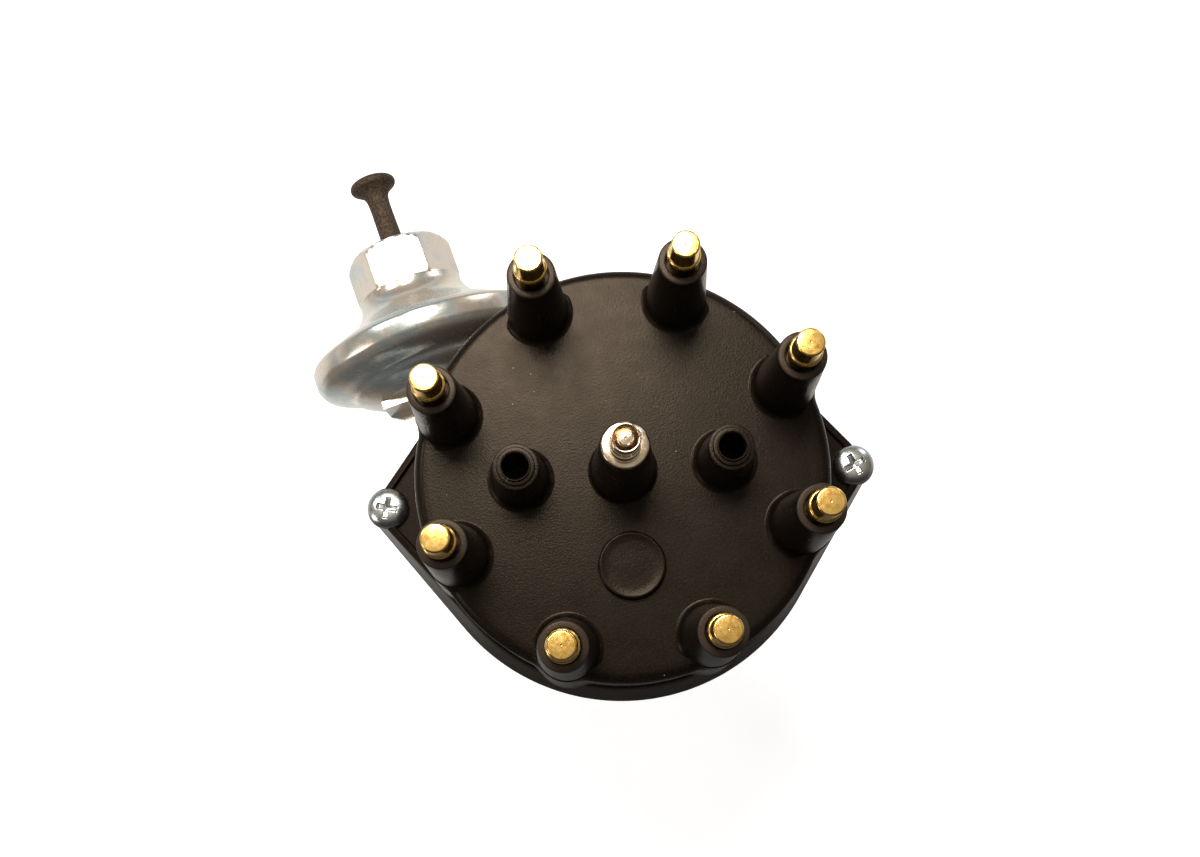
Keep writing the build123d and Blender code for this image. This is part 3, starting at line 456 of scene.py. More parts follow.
capTones = ((0.0037, 0.0026, 0.0018), (0.0068, 0.0048, 0.0034))
finishes = {
    "black_moulding": paintMoulding("blackMoulding", *capTones),
    # name, dark, light, grain, specks, roughness
    "rotor_moulding": paintMoulding("rotorMoulding", (0.05, 0.042, 0.038), (0.07, 0.06, 0.05), 0.4, False),
    "coil_moulding": paintMoulding("coilMoulding", (0.03, 0.03, 0.033), (0.05, 0.05, 0.055), 0.5, False),
    "rubber": paintMoulding("rubber", (0.034, 0.024, 0.017), (0.056, 0.042, 0.03), 0.6, False, (0.5, 0.6)),
    "carbon": paintMoulding("carbon", (0.05, 0.05, 0.05), (0.08, 0.08, 0.08), 0.3, False),
    "brass": paintBrass(),
    "canister_plate": paintCanister(),
    # name, colour, dull, roughness, spread, grain, depth
    "nickel": paintMetal("nickelPlate", (0.68, 0.62, 0.52), (0.48, 0.38, 0.27), 0.13, 0.02, 1.6, 0.004,
                         cloudSize=2.6),
    "zinc_steel": paintMetal("zincPlate", (0.62, 0.66, 0.68), (0.5, 0.55, 0.58), 0.25, 0.04, 0.8, 0.01,
                             cloudSize=3),
    "billet": paintMetal("billet", (0.77, 0.77, 0.78), (0.68, 0.68, 0.69), 0.26, 0.04, 0.35, 0.008,
                         stretch=(0.02, 0.02, 1)),
    "steel": paintMetal("groundSteel", (0.56, 0.56, 0.56), (0.45, 0.45, 0.46), 0.27, 0.05, 0.4, 0.01,
                        stretch=(0.05, 0.05, 1)),
    "gear_steel": paintMetal("gearSteel", (0.42, 0.42, 0.43), (0.3, 0.3, 0.31), 0.36, 0.06, 0.5, 0.015),
    "bronze": paintMetal("bronze", (0.62, 0.42, 0.24), (0.48, 0.3, 0.16), 0.38, 0.06, 0.4, 0.015),
    "spring_steel": paintMetal("springSteel", (0.6, 0.6, 0.62), (0.48, 0.48, 0.5), 0.25, 0.05, 0.4, 0.01),
    "magnet": paintMetal("magnetPlate", (0.4, 0.4, 0.42), (0.3, 0.3, 0.32), 0.3, 0.05, 0.6, 0.01),
}

for part in frame["record"]["subparts"]:
    finish = finishes.get(part.get("material_slot"))
    node = frame["nodes"].get(part.get("node"))
    if finish and node:
        node.data.materials.clear()
        node.data.materials.append(finish)
print("frame painted")


# Mesh helpers
def arcOf(middleR, middleZ, radius, start, end, steps):
    # points of (radius, height) along an arc, angles in degrees
    points = []
    for index in range(steps + 1):
        angle = math.radians(start + (end - start) * index / steps)
        points.append((middleR + radius * math.cos(angle), middleZ + radius * math.sin(angle)))
    return points


def lineOf(start, end, steps):
    # points from start towards end, without the end itself
    return [(start[0] + (end[0] - start[0]) * index / steps, start[1] + (end[1] - start[1]) * index / steps)
            for index in range(steps)]


def spun(profile, steps, closed=False):
    bm = bmesh.new()
    verts = [bm.verts.new((radius * mm, 0, height * mm)) for radius, height in profile]
    edges = [bm.edges.new(pair) for pair in zip(verts, verts[1:])]
    if closed:
        edges.append(bm.edges.new((verts[-1], verts[0])))
    bmesh.ops.spin(bm, geom=verts + edges, axis=(0, 0, 1), cent=(0, 0, 0), dvec=(0, 0, 0),
                   angle=fullTurn, steps=steps, use_merge=True, use_duplicate=False)
    bmesh.ops.remove_doubles(bm, verts=bm.verts, dist=0.00002 * mm)
    bmesh.ops.recalc_face_normals(bm, faces=bm.faces)
    return bm


def reachOf(vert):
    return math.hypot(vert.co.x, vert.co.y) / mm


def widen(vert, share):
    vert.co.x *= share
    vert.co.y *= share


def footFlare(stemR, flare, step):
    # quarter round from the cap's flat top into an upright wall
    return [(stemR + flare - flare * math.cos(math.radians(90 - turn)),
             capTopZ + flare - flare * math.cos(math.radians(turn)) - sink) for turn in range(0, 91, step)]


def makePiece(name, bm, slotName, body, replaced, crease=32, finish=None):
    limit = math.radians(crease)
    for face in bm.faces:
        face.smooth = True
    for edge in bm.edges:
        edge.smooth = len(edge.link_faces) != 2 or edge.calc_face_angle(0) < limit
    mesh = bpy.data.meshes.new(name)
    bm.to_mesh(mesh)
    bm.free()
    piece = bpy.data.objects.new(name, mesh)
    scene.collection.objects.link(piece)
    mesh.materials.append(finish or finishes[slotName])
    if body:
        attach(piece, body)
    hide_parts(replaced)
    return piece


def joined(parts):
    whole = bmesh.new()
    for part in parts:
        mesh = bpy.data.meshes.new("part")
        part.to_mesh(mesh)
        part.free()
        whole.from_mesh(mesh)
        bpy.data.meshes.remove(mesh)
    return whole


def smoothStep(value, low, high):
    share = min(1, max(0, (value - low) / (high - low)))
    return share * share * (3 - 2 * share)


def softMax(a, b, width):
    # the larger of two lengths, with a fillet about width wide where they meet
    gap = max(width - abs(a - b), 0) / width
    return max(a, b) + gap * gap * width / 4


# Cap
capSet = {
    "wallR": 47.5,
    "draft": 1.0,
    "edge": 2.5,
    "boreR": 44.0,
    "topWall": 4.0,
    "ribTopR": 7.2,
    "ribFootR": 8.8,
    "ribFootRise": 9.0,       # above the joint
    "ribFillet": 1.6,
    "wallSteps": 26,
    "edgeSteps": 8,
    "topSteps": 14,
    "segments": 480,
}


def ribReach(angle, radius):
    # how far out a tower's rib reaches at this angle, or 0 beside it
    best = 0
    for towerAngle in towerAngles:
        off = math.atan2(math.sin(angle - towerAngle), math.cos(angle - towerAngle))
        across = towerPitch * math.sin(off)
        if abs(across) < radius and abs(off) < 1:
            best = max(best, towerPitch * math.cos(off) + math.sqrt(radius * radius - across * across))
    return best


def makeCapShell():
    s = capSet
    footR = s["wallR"] + s["draft"]
    edgeZ = capTopZ - s["edge"]
    ceiling = capTopZ - s["topWall"]
    profile = [(0, ceiling), (s["boreR"] - 1, ceiling), (s["boreR"], ceiling - 1), (s["boreR"], jointZ)]
    profile += lineOf((footR, jointZ), (s["wallR"], edgeZ), s["wallSteps"])
    profile += arcOf(s["wallR"] - s["edge"], edgeZ, s["edge"], 0, 90, s["edgeSteps"])
    profile += lineOf((s["wallR"] - s["edge"] - 1.5, capTopZ), (0, capTopZ), s["topSteps"])
    profile.append((0, capTopZ))
    bm = spun(profile, s["segments"])
    footZ = jointZ + s["ribFootRise"]
    for vert in bm.verts:
        radius = reachOf(vert)
        height = vert.co.z / mm
        if radius < s["boreR"] + 0.5 or height < footZ - 2:
            continue
        share = (height - footZ) / (capTopZ - footZ)
        ribR = s["ribFootR"] + (s["ribTopR"] - s["ribFootR"]) * share
        reach = ribReach(math.atan2(vert.co.y, vert.co.x), ribR)
        widen(vert, softMax(radius, reach, s["ribFillet"]) / radius)
    return makePiece("cap_shell", bm, "black_moulding", "housing", "distributor_cap", 50)


flangeSet = {
    "footR": 51.95,
    "lipR": 48.6,
    "height": 12.0,
    "earPitch": 57.6,
    "earFootR": 5.3,
    "earLipR": 3.3,
    "lipWidth": 1.6,
    "pocketRise": 10.5,       # the screw's seat above the joint
    "arcSteps": 16,
    "sideSteps": 14,
    "roundSteps": 72,
    "edge": 0.7,
    # painted light: the wall below the screw seats gets a lighter brown, standing in for the light that falls
    # on it
    "wallLitTone": (0.014, 0.0092, 0.0066),
    "wallSpecular": 0.07,
}


def arcPoints(middle, radius, start, sweep, steps):
    angles = [start + sweep * index / steps for index in range(steps + 1)]
    return [middle + Vector((math.cos(angle), math.sin(angle), 0)) * radius for angle in angles]


def earOutline(bodyR, lobeR, height):
    # points round the body and its two ears, joined by straight sides
    s = flangeSet
    tangent = math.acos((bodyR - lobeR) / s["earPitch"])
    arcs = []
    middle = Vector((0, 0, height))
    for side in (0, math.pi):
        ear = Vector((math.cos(side) * s["earPitch"], 0, height))
        arcs.append(arcPoints(ear, lobeR, side - tangent, 2 * tangent, s["arcSteps"]))
        arcs.append(arcPoints(middle, bodyR, side + tangent, math.pi - 2 * tangent, s["roundSteps"]))
    points = []
    for index, arc in enumerate(arcs):
        start, end = arc[-1], arcs[(index + 1) % len(arcs)][0]
        points += arc
        points += [start.lerp(end, step / s["sideSteps"]) for step in range(1, s["sideSteps"])]
    return points


def drawnIn(points, radius):
    # the same points, moved in to a circle
    return [Vector((point.x, point.y, 0)).normalized() * radius + Vector((0, 0, point.z)) for point in points]


def closedThrough(rings):
    # one closed surface through rings of equal size, with the last ring joined to the first
    bm = bmesh.new()
    loops = [[bm.verts.new(point * mm) for point in points] for points in rings]
    for index, upper in enumerate(loops):
        lower = loops[index - 1]
        for side in range(len(lower)):
            bm.faces.new((lower[side - 1], lower[side], upper[side], upper[side - 1]))
    bmesh.ops.recalc_face_normals(bm, faces=bm.faces)
    return bm


def makeCapFlange():
    s = flangeSet
    innerR = capSet["wallR"] - 1.5
    lipZ = jointZ + s["height"]
    seatZ = jointZ + s["pocketRise"]
    slope = (s["footR"] - s["lipR"]) / s["height"]
    half = s["edge"] / 2
    rings = [drawnIn(earOutline(innerR, s["earLipR"], jointZ), innerR)]
    rings.append(earOutline(s["footR"] - half, s["earFootR"] - half, jointZ))
    rings.append(earOutline(s["footR"], s["earFootR"], jointZ + half))
    for share in (0.25, 0.5, 0.75):
        bodyR = s["footR"] - slope * s["height"] * share
        lobeR = s["earFootR"] + (s["earLipR"] - s["earFootR"]) * share
        rings.append(earOutline(bodyR, lobeR, jointZ + s["height"] * share))
    edge, width = s["edge"], s["lipWidth"]
    # over the lip and down into the screw pockets: how far in from the lip, and how far down
    steps = ((-slope * edge, edge), (edge * 0.1, edge * 0.3), (edge * 0.5, 0), (width - edge * 0.4, 0),
             (width, edge * 0.6), (width + 0.1, s["height"] - s["pocketRise"]))
    for inset, fall in steps:
        rings.append(earOutline(s["lipR"] - inset, s["earLipR"] - inset, lipZ - fall))
    rings.append(drawnIn(earOutline(innerR, s["earLipR"], seatZ), innerR))
    bm = closedThrough(rings)
    # below the screw seats the wall gets the lighter tone: painted light
    paint = paintByHeight("flangeMoulding", capTones, True, seatZ - 0.5, 0.4, s["wallLitTone"], s["wallSpecular"])
    return makePiece("cap_flange", bm, "black_moulding", "housing", "distributor_cap", 40, paint)


towerSet = {
    "baseR": 7.0,
    "topR": 5.2,
    "height": 29.2,
    "flare": 1.5,
    "recessR": 3.65,
    "recess": 3.0,
    "neckR": 2.8,
    "topEdge": 0.45,
    "root": 3.0,              # depth sunk into the cap
    # painted light: the top rim of each tower gets a lighter tone, standing in for the light on the flat tops
    "rimLitTone": (0.03, 0.022, 0.016),
    "rimSpecular": 0.14,
    "fadeStart": 42.4,        # distance from the shaft where the flare starts to fade
    "fadeEnd": 45.6,
    "segments": 72,
}


def towerBm(s, place, fade):
    # fade lets the foot's flare run out where it would pass the cap's wall
    topZ = capTopZ + s["height"]
    base, top = s["baseR"], s["topR"]
    edge, flare = s["topEdge"], s["flare"]
    stemR = base - (base - top) * flare / s["height"]
    rootZ = capTopZ - s["root"]
    profile = [(0, rootZ), (base - 0.25, rootZ), (base - 0.2, capTopZ - 0.1)]
    profile += footFlare(stemR, flare, 10)
    profile += lineOf((stemR, capTopZ + flare), (top, topZ - edge), 6)[1:]
    profile += arcOf(top - edge, topZ - edge, edge, 0, 90, 4)
    inner, floorZ = s["recessR"], topZ - s["recess"]
    profile += [(inner + 0.25, topZ), (inner, topZ - 0.25), (inner, floorZ), (s["neckR"], floorZ), (0, floorZ)]
    bm = spun(profile, s["segments"])
    x, y = place
    for vert in bm.verts:
        radius = reachOf(vert)
        height = vert.co.z / mm
        if fade and radius > stemR and capTopZ - 0.09 < height < capTopZ + flare:
            along = Vector((vert.co.x, vert.co.y)) / mm / radius
            full = stemR + flare
            far = math.hypot(x + along.x * full, y + along.y * full)
            keep = 1 - smoothStep(far, s["fadeStart"], s["fadeEnd"])
            widen(vert, (stemR - sink + (radius - stemR) * keep) / radius)
    bmesh.ops.translate(bm, verts=bm.verts, vec=(x * mm, y * mm, 0))
    return bm


def makeTowers():
    s = towerSet
    parts = [towerBm(s, place, True) for place in towerPlaces]
    rimZ = capTopZ + s["height"] - 0.3
    # the towers' top rims get the lighter tone: painted light
    paint = paintByHeight("towerMoulding", capTones, False, rimZ, 0.15, s["rimLitTone"], s["rimSpecular"])
    return makePiece("plug_towers", joined(parts), "black_moulding", "housing", "distributor_cap", 40, paint)


coilTowerSet = {
    "baseR": 7.3,
    "topR": 5.2,
    "height": 31.5,
    "flare": 0.9,
    "recessR": 2.4,
    "recess": 1.0,
    "neckR": 2.0,
    "topEdge": 0.3,
    "root": 3.0,
    "segments": 96,
}


def makeCoilTower():
    bm = towerBm(coilTowerSet, (0, 0), False)
    return makePiece("coil_tower", bm, "black_moulding", "housing", "distributor_cap", 40)


ventSet = {
    "pitch": 23.1,
    "baseR": 6.4,
    "topR": 5.0,
    "height": 20.2,
    "flare": 1.6,
    "step": 0.85,
    "boreR": 2.85,
    "edge": 0.2,
    "levels": 3,
    "root": 3.0,
    "segments": 72,
}


def makeVents():
    s = ventSet
    topZ = capTopZ + s["height"]
    stemR = s["baseR"] - (s["baseR"] - s["topR"]) * s["flare"] / s["height"]
    rootZ = capTopZ - s["root"]
    profile = [(s["boreR"], rootZ), (s["baseR"] - 0.3, rootZ), (s["baseR"] - 0.2, capTopZ - 0.1)]
    profile += footFlare(stemR, s["flare"], 10)
    edge, step = s["edge"], s["step"]
    radius, height = s["topR"], topZ - 2 * step
    profile += lineOf((stemR, capTopZ + s["flare"]), (radius, height - edge), 5)[1:]
    for level in range(s["levels"]):
        profile += arcOf(radius - edge, height - edge, edge, 0, 90, 3)
        radius -= step
        height += step
        if level < s["levels"] - 1:
            profile.append((radius, height - step))
    profile += [(s["boreR"] + 0.3, topZ), (s["boreR"], topZ - 0.3)]
    parts = []
    for side in (-1, 1):
        bm = spun(profile, s["segments"], True)
        bmesh.ops.translate(bm, verts=bm.verts, vec=(side * s["pitch"] * mm, 0, 0))
        parts.append(bm)
    return makePiece("vent_posts", joined(parts), "black_moulding", "housing", "distributor_cap", 40)


padSet = {
    "y": -21.6,
    "radius": 7.45,
    "height": 2.0,
    "flare": 0.4,
    "edge": 0.45,
    "dishR": 6.3,
    "dish": 0.2,
    "root": 2.0,
    "segments": 96,
}


def makePad():
    s = padSet
    topZ = capTopZ + s["height"]
    rootZ = capTopZ - s["root"]
    profile = [(0, rootZ), (s["radius"] - 0.2, rootZ), (s["radius"] - 0.1, capTopZ - 0.1)]
    profile += footFlare(s["radius"], s["flare"], 15)
    profile += arcOf(s["radius"] - s["edge"], topZ - s["edge"], s["edge"], 0, 90, 5)
    dishR, dish = s["dishR"], s["dish"]
    profile += [(dishR + 0.5, topZ - sink), (dishR - 0.2, topZ - dish * 0.75), (dishR - 1.2, topZ - dish),
                (dishR * 0.4, topZ - dish * 0.8), (0, topZ - dish * 0.7)]
    bm = spun(profile, s["segments"])
    bmesh.ops.translate(bm, verts=bm.verts, vec=(0, s["y"] * mm, 0))
    return makePiece("cap_pad", bm, "black_moulding", "housing", "distributor_cap", 40)


makeCapShell()
makeCapFlange()
makeTowers()
makeCoilTower()
makeVents()
makePad()
print("cap modelled")


# Plug terminals
terminalSet = {
    "shankR": 2.6,
    "neckR": 2.8,
    "tipR": 2.5,
    "tipRound": 0.45,
    "footR": 3.05,
    "collarR": 3.5,
    "collarFall": 6.2,        # from the flat tip down to the collar
    "collar": 1.3,
    "collarRound": 0.5,
    "dimpleR": 0.28,
    "segments": 64,
}


def makeTerminals():
    s = terminalSet
    low, top = pinLow.z / mm, pinHigh.z / mm
    floorZ = capTopZ + towerSet["height"] - towerSet["recess"]
    shoulder = top - s["collarFall"]
    collarZ = shoulder - s["collar"]
    profile = [(0, low), (s["shankR"] - 0.4, low), (s["shankR"], low + 0.4), (s["shankR"], floorZ)]
    profile += [(s["neckR"], floorZ), (s["neckR"], collarZ - 0.3), (s["collarR"] - 0.2, collarZ)]
    profile += [(s["collarR"], collarZ + 0.2)]
    profile += arcOf(s["collarR"] - s["collarRound"], shoulder - s["collarRound"], s["collarRound"], 0, 80, 7)
    profile += [(s["footR"] + 0.05, shoulder - 0.02), (s["footR"], shoulder + 0.1)]
    edge = s["tipRound"]
    profile += arcOf(s["tipR"], top - edge, edge, 0, 90, 7)
    profile += [(s["dimpleR"], top), (s["dimpleR"] * 0.5, top - 0.12), (0, top - 0.15)]
    parts = []
    for x, y in towerPlaces:
        bm = spun(profile, s["segments"])
        bmesh.ops.translate(bm, verts=bm.verts, vec=(x * mm, y * mm, 0))
        parts.append(bm)
    return makePiece("brass_plug_terminals", joined(parts), "brass", "housing", "plug_terminals", 25)


makeTerminals()
print("terminals turned")


# Coil terminal
coilSet = {
    "postR": 2.05,
    "studR": 1.3,
    "studFall": 1.2,              # from the nut's top down to the stud's end
    "flangeR": 4.88,
    "flange": 1.4,
    "collarR": 2.7,
    "nutR": 3.1,
    "rimR": 0.3,
    "waistR": 2.6,
    "grooveR": 1.6,
    "grooveFall": 1.6,
    "discR": 1.45,
    "boreR": 0.4,
    "segments": 72,
}


def makeCoilTerminal():
    s = coilSet
    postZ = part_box("coil_terminal_post")[0].z / mm
    nutLow, nutHigh = (corner.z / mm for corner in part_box("coil_terminal_nut"))
    coilTopZ = capHigh.z / mm
    flangeTop, edge = coilTopZ + s["flange"], 0.35
    studTop = nutHigh - s["studFall"]
    profile = [(0, postZ), (s["postR"], postZ), (s["postR"], coilTopZ)]
    flangeR = s["flangeR"]
    profile += [(flangeR - 0.2, coilTopZ), (flangeR, coilTopZ + 0.2), (flangeR, flangeTop - edge)]
    profile += arcOf(flangeR - edge, flangeTop - edge, edge, 0, 90, 4)
    profile += [(s["collarR"], flangeTop - 0.1), (s["collarR"], nutLow)]
    profile += [(s["studR"], nutLow), (s["studR"], studTop), (0, studTop)]
    makePiece("coil_stud", spun(profile, s["segments"]), "nickel", "housing", "coil_terminal_post", 30)
    height = nutHigh - nutLow
    nutR, waistR, rim = s["nutR"], s["waistR"], s["rimR"]
    profile = [(s["boreR"], nutLow), (nutR - 0.25, nutLow), (nutR, nutLow + 0.25)]
    profile += [(radius, nutLow + height * share)
                for radius, share in ((nutR, 0.3), (waistR, 0.38), (waistR, 0.55), (nutR, 0.64))]
    profile += [(nutR, nutHigh - rim)]
    profile += arcOf(nutR - rim, nutHigh - rim, rim, 10, 130, 7)
    fall = nutHigh - s["grooveFall"]
    profile += [(nutR - 2 * rim, nutHigh - rim - 0.15), (s["grooveR"], fall), (s["discR"], fall)]
    profile += [(s["discR"], nutHigh - 0.42), (s["discR"] - 0.12, nutHigh - 0.3), (s["boreR"], nutHigh - 0.27)]
    bm = spun(profile, s["segments"], True)
    makePiece("coil_nut", bm, "nickel", "housing", "coil_terminal_nut", 35)


makeCoilTerminal()
print("coil terminal turned")


# Cap screws
screwSet = {
    "headR": 5.15,
    "side": 0.7,              # straight part of the head's edge
    "shankR": 2.4,
    "arm": 2.55,
    "halfWidth": 0.58,
    "recess": 1.5,
    "taper": 0.5,             # how much shallower the cross is at its tips
    "soft": (-0.16, 0.3),     # the cross's edge falls in between these distances
    "dome": (2.8, 0.55),      # powers of the head's curve
    "turns": (24, -15),       # of the cross, in degrees, right then left
    "rings": 44,
    "segments": 144,
}


def crossDepth(x, y):
    # depth of the cross recess at this spot of the head
    s = screwSet
    x, y = abs(x), abs(y)
    out = min(max(x - s["arm"], y - s["halfWidth"]), max(y - s["arm"], x - s["halfWidth"]))
    taper = 1 - s["taper"] * math.hypot(x, y) / s["arm"]
    return s["recess"] * max(taper, 0) * smoothStep(-out, *s["soft"])


def makeCapScrews():
    s = screwSet
    low, high = (corner.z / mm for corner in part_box("cap_screws"))
    pitch = flangeSet["earPitch"]
    seat = jointZ + flangeSet["pocketRise"]
    crown = high - seat - s["side"]
    profile = [(0, low), (s["shankR"] - 0.5, low), (s["shankR"], low + 0.5), (s["shankR"], seat)]
    profile += [(s["headR"] - 0.15, seat), (s["headR"], seat + 0.15)]
    bulge, ease = s["dome"]
    for index in range(s["rings"]):
        radius = s["headR"] * (1 - index / s["rings"])
        profile.append((radius, seat + s["side"] + crown * (1 - (radius / s["headR"]) ** bulge) ** ease))
    profile.append((0, high))
    parts = []
    for side, turn in zip((1, -1), s["turns"]):
        bm = spun(profile, s["segments"])
        for vert in bm.verts:
            if vert.co.z / mm > seat + s["side"] + 0.2:
                vert.co.z -= crossDepth(vert.co.x / mm, vert.co.y / mm) * mm
        bmesh.ops.rotate(bm, verts=bm.verts, cent=(0, 0, 0), matrix=Matrix.Rotation(math.radians(turn), 3, "Z"))
        bmesh.ops.translate(bm, verts=bm.verts, vec=(side * pitch * mm, 0, 0))
        parts.append(bm)
    return makePiece("recessed_cap_screws", joined(parts), "zinc_steel", "housing", "cap_screws", 60)


makeCapScrews()
print("screws turned")


# Canister, drawn about its own axis and then set in place
canisterSet = {
    "angle": 104.9,
    "rodRadius": 34.0,
    "height": 46.0,
    "segments": 240,
}


def canisterPlace():
    angle = math.radians(canisterSet["angle"])
    axis = Vector((math.cos(angle), math.sin(angle), 0))
    outward = Vector((-math.sin(angle), math.cos(angle), 0))
    origin = outward * canisterSet["rodRadius"] * mm + Vector((0, 0, canisterSet["height"] * mm))
    upward = axis.cross(outward)
    turn = Matrix((outward, upward, axis)).transposed()
    return Matrix.Translation(origin) @ turn.to_4x4()


def setOnCanister(bm):
    bm.transform(canisterPlace())
    bmesh.ops.recalc_face_normals(bm, faces=bm.faces)
    return bm


shellSet = {
    "rimS": 57.9,
    "rimR": 32.2,
    "rimRoll": 1.6,
    "sheet": 1.2,
    "backS": 45.7,
    "rodHoleR": 5.2,
    "clampR": 28.4,
    # radius and distance past the rim, from the crimp to the nose's ring
    "flare": ((29.3, 1.3), (29.0, 3.0), (25.7, 4.9), (22.0, 6.8), (19.3, 8.3), (17.4, 9.7), (15.6, 11.7),
              (14.5, 14.1), (14.3, 16.6)),
    # radius and distance past the rear face
    "back": ((16.8, 0), (20.2, 1.4), (23.0, 2.9), (24.4, 4.5), (28.0, 5.8), (30.8, 7.2), (31.9, 8.8)),
}


def curveThrough(points, steps):
    # smooth line through points (Catmull-Rom)
    ends = [points[0]] + list(points) + [points[-1]]
    made = []
    for index in range(1, len(ends) - 2):
        a, b, c, d = (Vector(p) for p in ends[index - 1:index + 3])
        for step in range(steps):
            t = step / steps
            made.append(tuple(0.5 * ((2 * b) + (c - a) * t + (2 * a - 5 * b + 4 * c - d) * t * t
                                     + (3 * b - a - 3 * c + d) * t ** 3)))
    made.append(tuple(points[-1]))
    return made


def makeCanisterShells():
    s = shellSet
    rimR, rimS, roll = s["rimR"], s["rimS"], s["rimRoll"]
    crimp = rimS + s["sheet"]
    flare = curveThrough([(radius, rimS + along) for radius, along in s["flare"]], 7)
    profile = [(rimR - 1, rimS), (rimR - 1, crimp), (rimR - 2.6, crimp)]
    profile += flare
    profile += [(radius - s["sheet"], along - 0.5) for radius, along in reversed(flare)]
    profile += [(rimR - 6, rimS)]
    bm = spun(profile, canisterSet["segments"], True)
    makePiece("canister_flare", setOnCanister(bm), "canister_plate", "housing", "canister_front_shell", 30)

    back = [(radius, s["backS"] + along) for radius, along in curveThrough(s["back"], 6)]
    rollS, clampS = crimp + 1 - roll, rimS - diaphragmSet["thick"]
    profile = [(s["rodHoleR"], s["backS"]), (15.5, s["backS"])] + back
    profile += [(rimR, s["backS"] + 9.6), (rimR, rollS)] + arcOf(rimR - roll, rollS, roll, 0, 110, 8)
    profile += [(rimR - 2.8, crimp + 0.35), (rimR - 2.8, crimp + sink), (rimR - 1, crimp + sink)]
    profile += [(rimR - 1, clampS), (s["clampR"], clampS)]
    profile += [(radius - s["sheet"], along + 1.0) for radius, along in reversed(back[:-10])]
    profile += [(s["rodHoleR"], s["backS"] + s["sheet"])]
    bm = spun(profile, canisterSet["segments"], True)
    makePiece("canister_back", setOnCanister(bm), "canister_plate", "housing", "canister_rear_shell", 40)


diaphragmSet = {
    "thick": 0.7,
    "heldS": 57.3,            # the housing clamps the web up to here, and the web meets the rod from movingS on
    "movingS": 54.3,
    "steps": 3,
    "segments": 120,
    # middle lines of the two pieces: radius and distance along the canister's axis
    "web": [(30.9, 57.55), (27.6, 57.5), (26.0, 57.2), (24.0, 56.2), (22.2, 54.9), (21.2, 54.4), (20.4, 54.15)],
    "centre": [(20.5, 54.15), (19.3, 54.05), (18.2, 54.5), (17.6, 55.6), (17.4, 57.4), (16.9, 58.4),
               (16.0, 58.75), (2.0, 58.75)],
}


def sheetAlong(line, thick):
    # closed outline of a thin sheet, from its middle line
    near, far = [], []
    for index, point in enumerate(line):
        before = Vector(line[max(index - 1, 0)])
        after = Vector(line[min(index + 1, len(line) - 1)])
        along = (after - before).normalized()
        side = Vector((-along.y, along.x)) * thick / 2
        near.append(tuple(Vector(point) + side))
        far.append(tuple(Vector(point) - side))
    return near + far[::-1]


def makeDiaphragm():
    # the edge is held in the rim and the middle moves with the rod; the web between them stays as drawn
    s = diaphragmSet
    parts = (("diaphragm_web", s["web"], None), ("diaphragm_centre", s["centre"], "vacuum_rod"))
    for name, line, body in parts:
        bm = spun(sheetAlong(curveThrough(line, s["steps"]), s["thick"]), s["segments"], True)
        piece = makePiece(name, setOnCanister(bm), "rubber", body, "diaphragm", 50)
        if not body:
            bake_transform(piece)


noseSet = {
    "startS": 74.6,
    "length": 12.4,
    "flats": 25.4,
    "cornerRound": 0.12,
    "ringR": 14.3,
    "frontR": 11.7,
    "frontDepth": 0.55,
    "portR": 3.6,
    "boreR": 3.9,
    "portDepth": 4,
    "cornerGive": 0.35,       # how much of a sharp corner is left past its round
    "segments": 288,
    "rear": ((-0.6, -2.0), (0.05, -0.6), (0.1, 0)),        # radius past the ring, distance past the start
    "front": ((-0.1, -2.6), (-0.6, -1.7), (-1.3, -0.9)),   # radius past the corners, distance past the tip
}


def hexReach(angle, half, corner):
    # distance to the flats at this angle, with the corners rounded
    turn = angle % (math.pi / 3) - math.pi / 6
    reach = half / math.cos(turn)
    limit = half / math.cos(math.pi / 6) - corner
    return min(reach, limit + (reach - limit) * noseSet["cornerGive"]) if reach > limit else reach


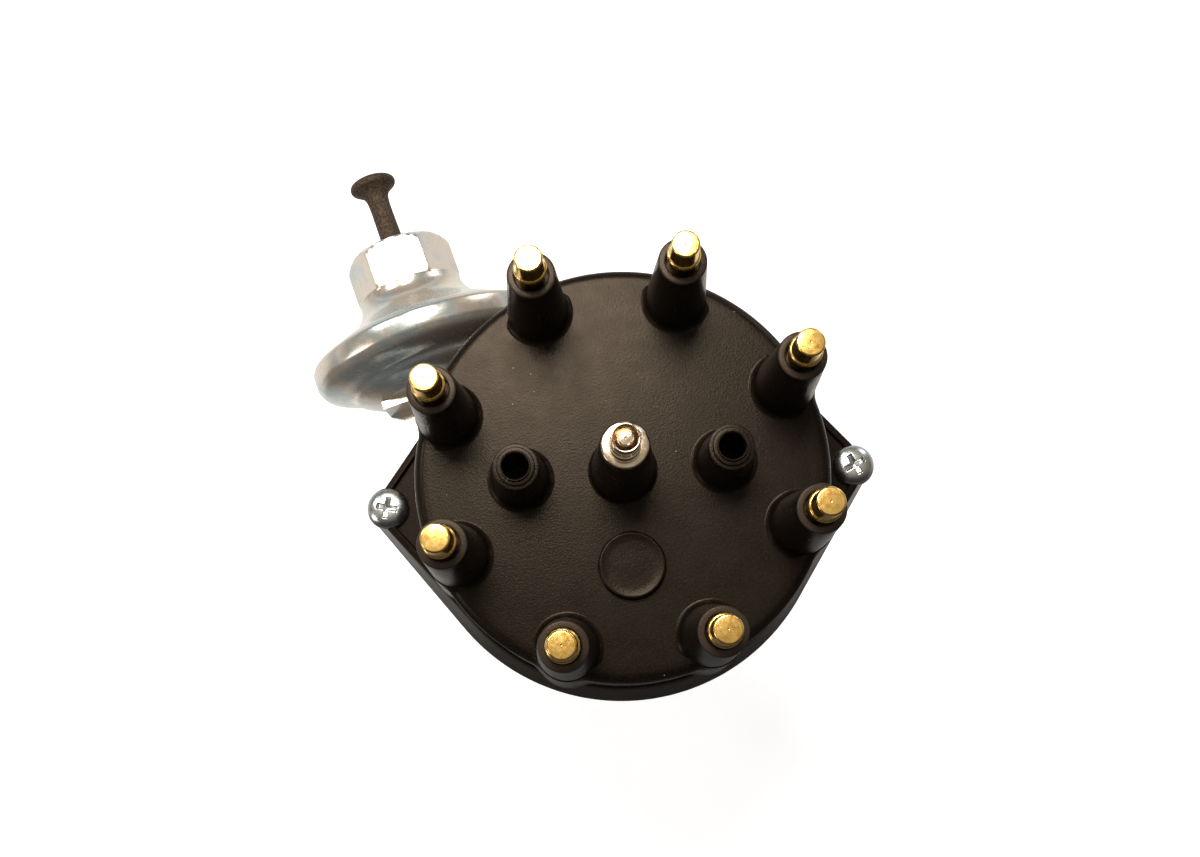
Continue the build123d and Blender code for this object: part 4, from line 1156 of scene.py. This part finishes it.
def makeHexNose():
    s = noseSet
    half = s["flats"] / 2
    tip = s["startS"] + s["length"]
    cornerR = half / math.cos(math.pi / 6)
    ringR, start = s["ringR"], s["startS"]
    # outside radius allowed at each distance along the axis
    profile = [(s["boreR"], start - 2.0)] + [(ringR + out, start + along) for out, along in s["rear"]]
    profile += [(ringR + 0.1 + 0.6 * share, start + 2.4 * share) for share in (0.2, 0.4, 0.6, 0.8, 1.0)]
    profile += lineOf((cornerR + 1, start + 2.6), (cornerR + 1, tip - 3.2), 8)
    profile += [(cornerR + out, tip + along) for out, along in s["front"]]
    profile += [(half - 0.1, tip - 0.3), (half - 0.7, tip)]
    frontR, portR, dishS = s["frontR"], s["portR"], tip - s["frontDepth"]
    profile += [(frontR, tip), (frontR - 0.5, dishS), (portR + 0.6, dishS), (portR, dishS + 0.3),
                (portR - 0.3, dishS - 0.5), (portR - 0.3, tip - s["portDepth"])]
    bm = spun(profile, s["segments"], True)
    for vert in bm.verts:
        radius = reachOf(vert)
        if radius > half - 0.2 and vert.co.z / mm > start - 0.1:
            reach = hexReach(math.atan2(vert.co.y, vert.co.x), half, s["cornerRound"])
            widen(vert, min(radius, reach) / radius)
    makePiece("hex_canister_nose", setOnCanister(bm), "canister_plate", "housing", "hex_nose", 24)


plugSet = {
    "stemR": 3.1,
    "neckR": 2.95,
    "headR": 6.4,
    "length": 21.6,
    "flare": 3.6,
    "head": 2.6,
    "boreR": 2.35,
    "tip": 12,                # solid length at the head's end
    "segments": 72,
}


def makePortPlug():
    s = plugSet
    start = noseSet["startS"] + noseSet["length"] - 0.5
    end = start + 0.5 + s["length"]
    flareS = end - s["head"] - s["flare"]
    rim = s["head"] / 2
    neckR = s["neckR"]
    profile = [(s["boreR"], start), (s["stemR"], start)]
    profile += curveThrough([(s["stemR"], start + 0.6), (neckR, start + 8), (neckR, flareS - 1),
                             (neckR + 0.5, flareS + 1.6), (neckR + 1.6, flareS + 3.0)], 6)
    profile += curveThrough([(neckR + 1.9, flareS + 3.1), (s["headR"] - rim, end - s["head"] - 0.25)], 3)
    profile += arcOf(s["headR"] - rim, end - rim, rim, -80, 90, 12)
    profile += [(s["headR"] - rim - 0.9, end - 0.25), (0, end - 0.6)]
    profile += [(0, end - s["tip"]), (s["boreR"], end - s["tip"])]
    bm = spun(profile, s["segments"], True)
    makePiece("rubber_port_plug", setOnCanister(bm), "rubber", "housing", "port_plug", 40)


makeCanisterShells()
makeDiaphragm()
makeHexNose()
makePortPlug()
print("canister pressed")
